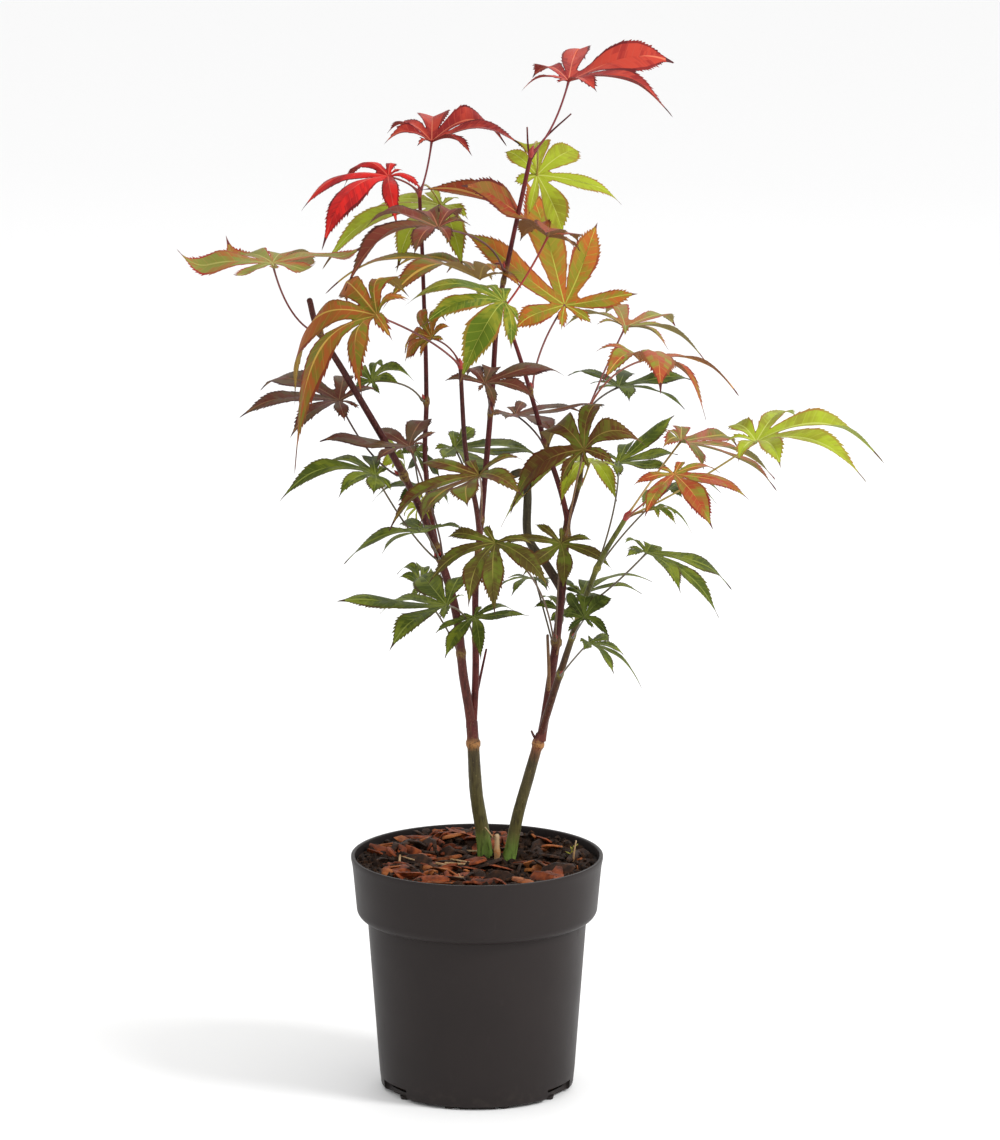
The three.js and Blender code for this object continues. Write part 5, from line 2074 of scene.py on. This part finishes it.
MASSES = [
    Mass("tall_tip", "tall", 1, [
        Leaf((68, 15, 766), 78, -1, 2, 76, 48, 0.07, -0.56, 3, Tint.RED, 0.26, 0.12, 1.1, 1.0,
             ((-1, 30, 1.02), (-2, -10, 0.95), (0, 0, 0.8))),
        Leaf((45, 85, 684), 29, 38, 72, 61, 48, 0.4, -0.18, 312, Tint.LIME, 0.15, 0.04, 1.35, 1.0,
             ((-1, 0, 0.45), (-2, 0, 1.3), (0, 0, 1.1))),
    ]),
    Mass("tall_high", "tall", 0.8, [
        Leaf((-28, -50, 667), 155, -3, -12, 75, 46, 0.04, 0.1, 23, Tint.MAHOGANY, 0.42, 0.14, 1.25),
        Leaf((2, 45, 612), 185, 5, 6, 121, 40, -0.05, 0.3, 398, Tint.COPPER, 0.2, 0.12, 0.74),
    ]),
    Mass("tall_upper", "tall", 0.73, [
        Leaf((53, 35, 646), 163, 17, 15, 90, 50, -0.14, 0, 247, Tint.RUST, 0.3, 0.08, 1.15, 1.0,
             ((0, -40, 0.8), (1, -45, 1.1))),
    ]),
    Mass("tall_middle", "tall", 0.55, [
        Leaf((6, -15, 544), 25, 10, 15, 57, 46, 0.25, 0.4, 267, Tint.PLUM),
    ]),
    Mass("tall_lower", "tall", 0.36, [
        Leaf((2, -70, 486), 225, -35, 5, 84, 42, -0.2, 0.1, 93, Tint.BRONZE, 0.2, 0.14),
        Leaf((-17, 90, 474), 340, -20, 10, 63, 42, -0.2, 0.05, 125, Tint.GREEN),
    ]),
    Mass("tall_foot", "tall", 0.15, [
        Leaf((-22, -50, 383), 150, -10, -15, 79, 38, -0.15, 0.2, 216, Tint.GREEN),
        Leaf((-2, 10, 361), 290, -20, 20, 45, 46, 0.05, 0.05, 216, Tint.GREEN),
    ]),
    Mass("back_tip", "back_left", 1, [
        Leaf((-34, 85, 709), 85, 5, 5, 69, 44, -0.05, -0.4, 368, Tint.RED, 0.45, 0.18),
        Leaf((-66, 55, 688), 175, -10, -20, 67, 50, 0.35, 0.35, 380, Tint.SCARLET, -0.25, 0.16, 0.9),
        Leaf((-27, 115, 655), 190, -10, -10, 79, 44, 0.15, 0.3, 196, Tint.LIME),
    ]),
    Mass("back_middle", "back_left", 0.43, [
        Leaf((-78, 25, 538), 60, 55, -25, 41, 42, 0.4, -0.35, 224, Tint.GREEN),
    ]),
    Mass("back_lower", "back_left", 0.12, [
        Leaf((-63, 45, 476), 110, 50, 50, 40, 50, 0.4, 0, 261, Tint.LIME),
        Leaf((-48, 65, 478), 310, -65, -30, 41, 42, 0, 0, 22, Tint.DARK),
        Leaf((-44, 22, 443), 35, 65, -10, 41, 48, 0.5, 0.2, 386, Tint.LIME),
        Leaf((-38, 88, 440), 175, 20, -5, 43, 50, 0.35, -0.05, 135, Tint.DARK),
    ]),
    Mass("left_tip", "outer_left", 0.935, [
        Leaf((-150, -50, 641), 122, 6, -8, 79, 50, 0.28, -0.4, 91, Tint.TAWNY, 0.16, 0.04, 1.3, -3.4),
    ]),
    Mass("left_middle", "outer_left", 0.575, [
        Leaf((-102, -25, 533), 185, 0, -15, 74, 46, -0.05, -0.3, 144, Tint.PLUM),
    ]),
    Mass("left_lower", "outer_left", 0.375, [
        Leaf((-50, -32, 500), 125, -5, -15, 57, 50, -0.2, 0.4, 285, Tint.PLUM),
        Leaf((-75, -50, 482), 190, 15, -10, 71, 42, 0.1, -0.1, 90, Tint.GREEN),
        Leaf((-38, -40, 437), 220, -10, 10, 60, 50, -0.1, -0.1, 204, Tint.GREEN),
    ]),
    Mass("left_base", "outer_left", 0.16, [
        Leaf((-43, 60, 371), 165, 70, -5, 45, 38, 0.35, -0.4, 276, Tint.GREEN),
    ]),
    Mass("front_tip", "front", 1, [
        Leaf((-72, -105, 612), 140, -20, -40, 91, 46, 0.44, 0.1, 353,
             Tint.COPPER, -0.2, 0.26, 0.98),
        Leaf((-33, 8, 574), 95, 45, -55, 43, 38, 0.35, 0, 306, Tint.COPPER, -0.2, 0.15),
    ]),
    Mass("inner_tip", "right_inner", 1, [
        Leaf((20, -78, 617), 210, 10, -30, 70, 38, 0.5, -0.35, 333, Tint.FRESH, 0.1, 0.08, 1.2),
    ]),
    Mass("inner_upper", "right_inner", 0.7, [
        Leaf((66, 100, 582), 115, 40, -5, 82, 50, -0.2, -0.05, 213, Tint.AMBER, 0.12, 0.06, 1.1),
    ]),
    Mass("inner_lower", "right_inner", 0.4, [
        Leaf((29, 92, 499), 345, -10, 5, 61, 44, -0.2, -0.25, 125, Tint.PLUM),
    ]),
    Mass("upper_tip", "right_upper", 1, [
        Leaf((112, 110, 563), 60, -10, 10, 71, 48, 0.1, 0.15, 226, Tint.TAWNY, 0.3, 0.12, 0.85),
        Leaf((121, -40, 566), 325, -15, -10, 84, 42, 0, -0.3, 203, Tint.RUSSET, 0.25, 0.16, 0.9),
        Leaf((107, 85, 522), 25, -5, 5, 62, 50, 0, 0.05, 217, Tint.DARK),
    ]),
    Mass("upper_foot", "right_upper", 0.35, [
        Leaf((85, 75, 466), 185, 0, 0, 61, 50, 0.5, 0.25, 67, Tint.LIME),
    ]),
    Mass("right_top", "right", 0.93, [
        Leaf((80, -15, 494), 60, 60, -10, 71, 50, 0.35, 0.4, 351, Tint.BRONZE, 0.2, 0.12),
    ]),
    Mass("right_middle", "right", 0.45, [
        Leaf((14, -80, 437), 230, -40, -10, 70, 38, 0, 0.2, 253, Tint.OLIVE, 0.2, 0.14, 0.88),
        Leaf((63, 15, 416), 225, -30, -30, 49, 50, -0.1, 0.25, 167, Tint.OLIVE, 0.2, 0.14, 0.88),
        Leaf((44, 85, 373), 280, 5, -5, 48, 38, 0.1, -0.3, 275, Tint.GREEN),
        Leaf((64, 75, 349), 150, 45, 5, 40, 44, 0.25, -0.05, 299, Tint.GREEN),
    ]),
    Mass("outer_tip", "outer_right", 1, [
        Leaf((206, -70, 511), 20, 5, 5, 84, 44, -0.05, -0.05, 257, Tint.LIME, 0.35, 0.12),
        Leaf((152, 10, 495), 10, -25, 5, 83, 40, -0.05, -0.3, 157, Tint.BLUSH, 0.2, 0.1),
        Leaf((131, -52, 457), 10, 0, 0, 26, 44, 0.3, 0, 77, Tint.FRESH),
        Leaf((145, -105, 494), 295, -25, 10, 55, 48, 0.05, 0, 127, Tint.RUSSET),
    ]),
    Mass("outer_upper", "outer_right", 0.78, [
        Leaf((107, 85, 464), 0, -5, 15, 54, 42, -0.15, 0.05, 73, Tint.GREEN),
        Leaf((143, 30, 454), 25, 10, -10, 47, 48, 0.35, 0, 315, Tint.GREEN),
    ]),
    Mass("outer_middle", "outer_right", 0.62, [
        Leaf((125, -95, 433), 340, -25, -5, 65, 48, 0.15, 0.25, 161, Tint.GREEN),
    ]),
    Mass("outer_lower", "outer_right", 0.47, [
        Leaf((79, 45, 370), 25, 20, 0, 54, 46, 0.05, -0.3, 35, Tint.GREEN),
        Leaf((80, -60, 376), 55, 70, -5, 41, 40, 0.45, 0.15, 387, Tint.DARK),
    ]),
    Mass("outer_foot", "outer_right", 0.3, [
        Leaf((83, -80, 362), 340, -30, -5, 44, 38, -0.15, -0.05, 90, Tint.GREEN),
    ]),
]

LIMBS: dict[str, Limb] = {limb.name: limb for limb in TRUNKS_AND_BOUGHS}


# ------------ studio


@dataclass
class Studio:
    """A plain pale floor, soft light from the upper right, and the camera.

    Attributes:
        camera_place: Where the camera stands.
        camera_tilt: Its tilt from straight down, in degrees.
        lens: Its focal length.
        sensor: Its sensor's width.
        floor: Half the width of the floor in metres.
        white: How pale the floor is.
        aim: What the lights are turned to, in metres.
        lights: The lights, each by name, place and width in metres, and power in watts.
    """

    camera_place: Triple = (17.3, -5860.0, 1687.7)
    camera_tilt: float = 77.6
    lens: float = 253.4
    sensor: float = 36
    floor: float = 60.0
    white: float = 0.93
    aim: Triple = (0, 0, 0.4)
    lights: tuple[tuple[str, Triple, float, float], ...] = (
        ("key", (2.3, -1.2, 2.3), 1.0, 66), ("back", (0.4, 2.4, 2.2), 1.6, 12))

    def build(self) -> None:
        """Sets up the floor, the lights and the camera."""
        self._floor()
        self._lights()
        self._camera()

    def _floor(self) -> None:
        """Lays the floor."""
        shape = bmesh.new()
        ops.create_grid(shape, x_segments=1, y_segments=1, size=self.floor)
        pale = (self.white, self.white, self.white, 1)
        finish = Shader("floor_paper").finish(Base_Color=pale, Roughness=0.9, Specular_IOR_Level=0.1)
        floor = bare_object("floor", shape)
        floor.data.materials.append(finish)

    def _lights(self) -> None:
        """Hangs the lights and sets the pale world."""
        world = bpy.data.worlds.new("studio")
        world.use_nodes = True
        sky = world.node_tree.nodes["Background"]
        sky.inputs["Color"].default_value = (1, 1, 1, 1)
        sky.inputs["Strength"].default_value = 1.0
        bpy.context.scene.world = world
        for name, place, size, watts in self.lights:
            light = bpy.data.lights.new(name, "AREA")
            light.shape, light.size, light.energy = "DISK", size, watts
            thing = linked(name, light)
            thing.location = place
            way = Vector(self.aim) - Vector(place)
            thing.rotation_euler = way.to_track_quat("-Z", "Y").to_euler()

    def _camera(self) -> None:
        """Stands the camera in front of the plant and a little above it."""
        camera = bpy.data.cameras.new("camera")
        camera.lens, camera.sensor_width, camera.sensor_fit = self.lens, self.sensor, "AUTO"
        camera.clip_start, camera.clip_end = 0.1, 300
        thing = linked("camera", camera)
        thing.location = Vector(self.camera_place) * MM
        thing.rotation_euler = (math.radians(self.camera_tilt), 0, 0)
        bpy.context.scene.camera = thing
        bpy.context.scene.view_settings.view_transform = "Standard"


# ------------ the whole plant


def main() -> None:
    """Builds the pot, the compost, the limbs and the leaves, and lights them."""
    logging.basicConfig(level=logging.INFO, format="%(name)s: %(message)s")
    clear_scene()
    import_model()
    palette = Palette.mixed()
    Pot().build()
    Compost().build()
    for limb in TRUNKS_AND_BOUGHS:
        limb.build([mass.at for mass in MASSES if f"bough_{mass.bough}" == limb.name], palette)
    for thing in (*SPROUTS, *MASSES):
        thing.build(palette)
    Studio().build()


if __name__ == "__main__":
    main()
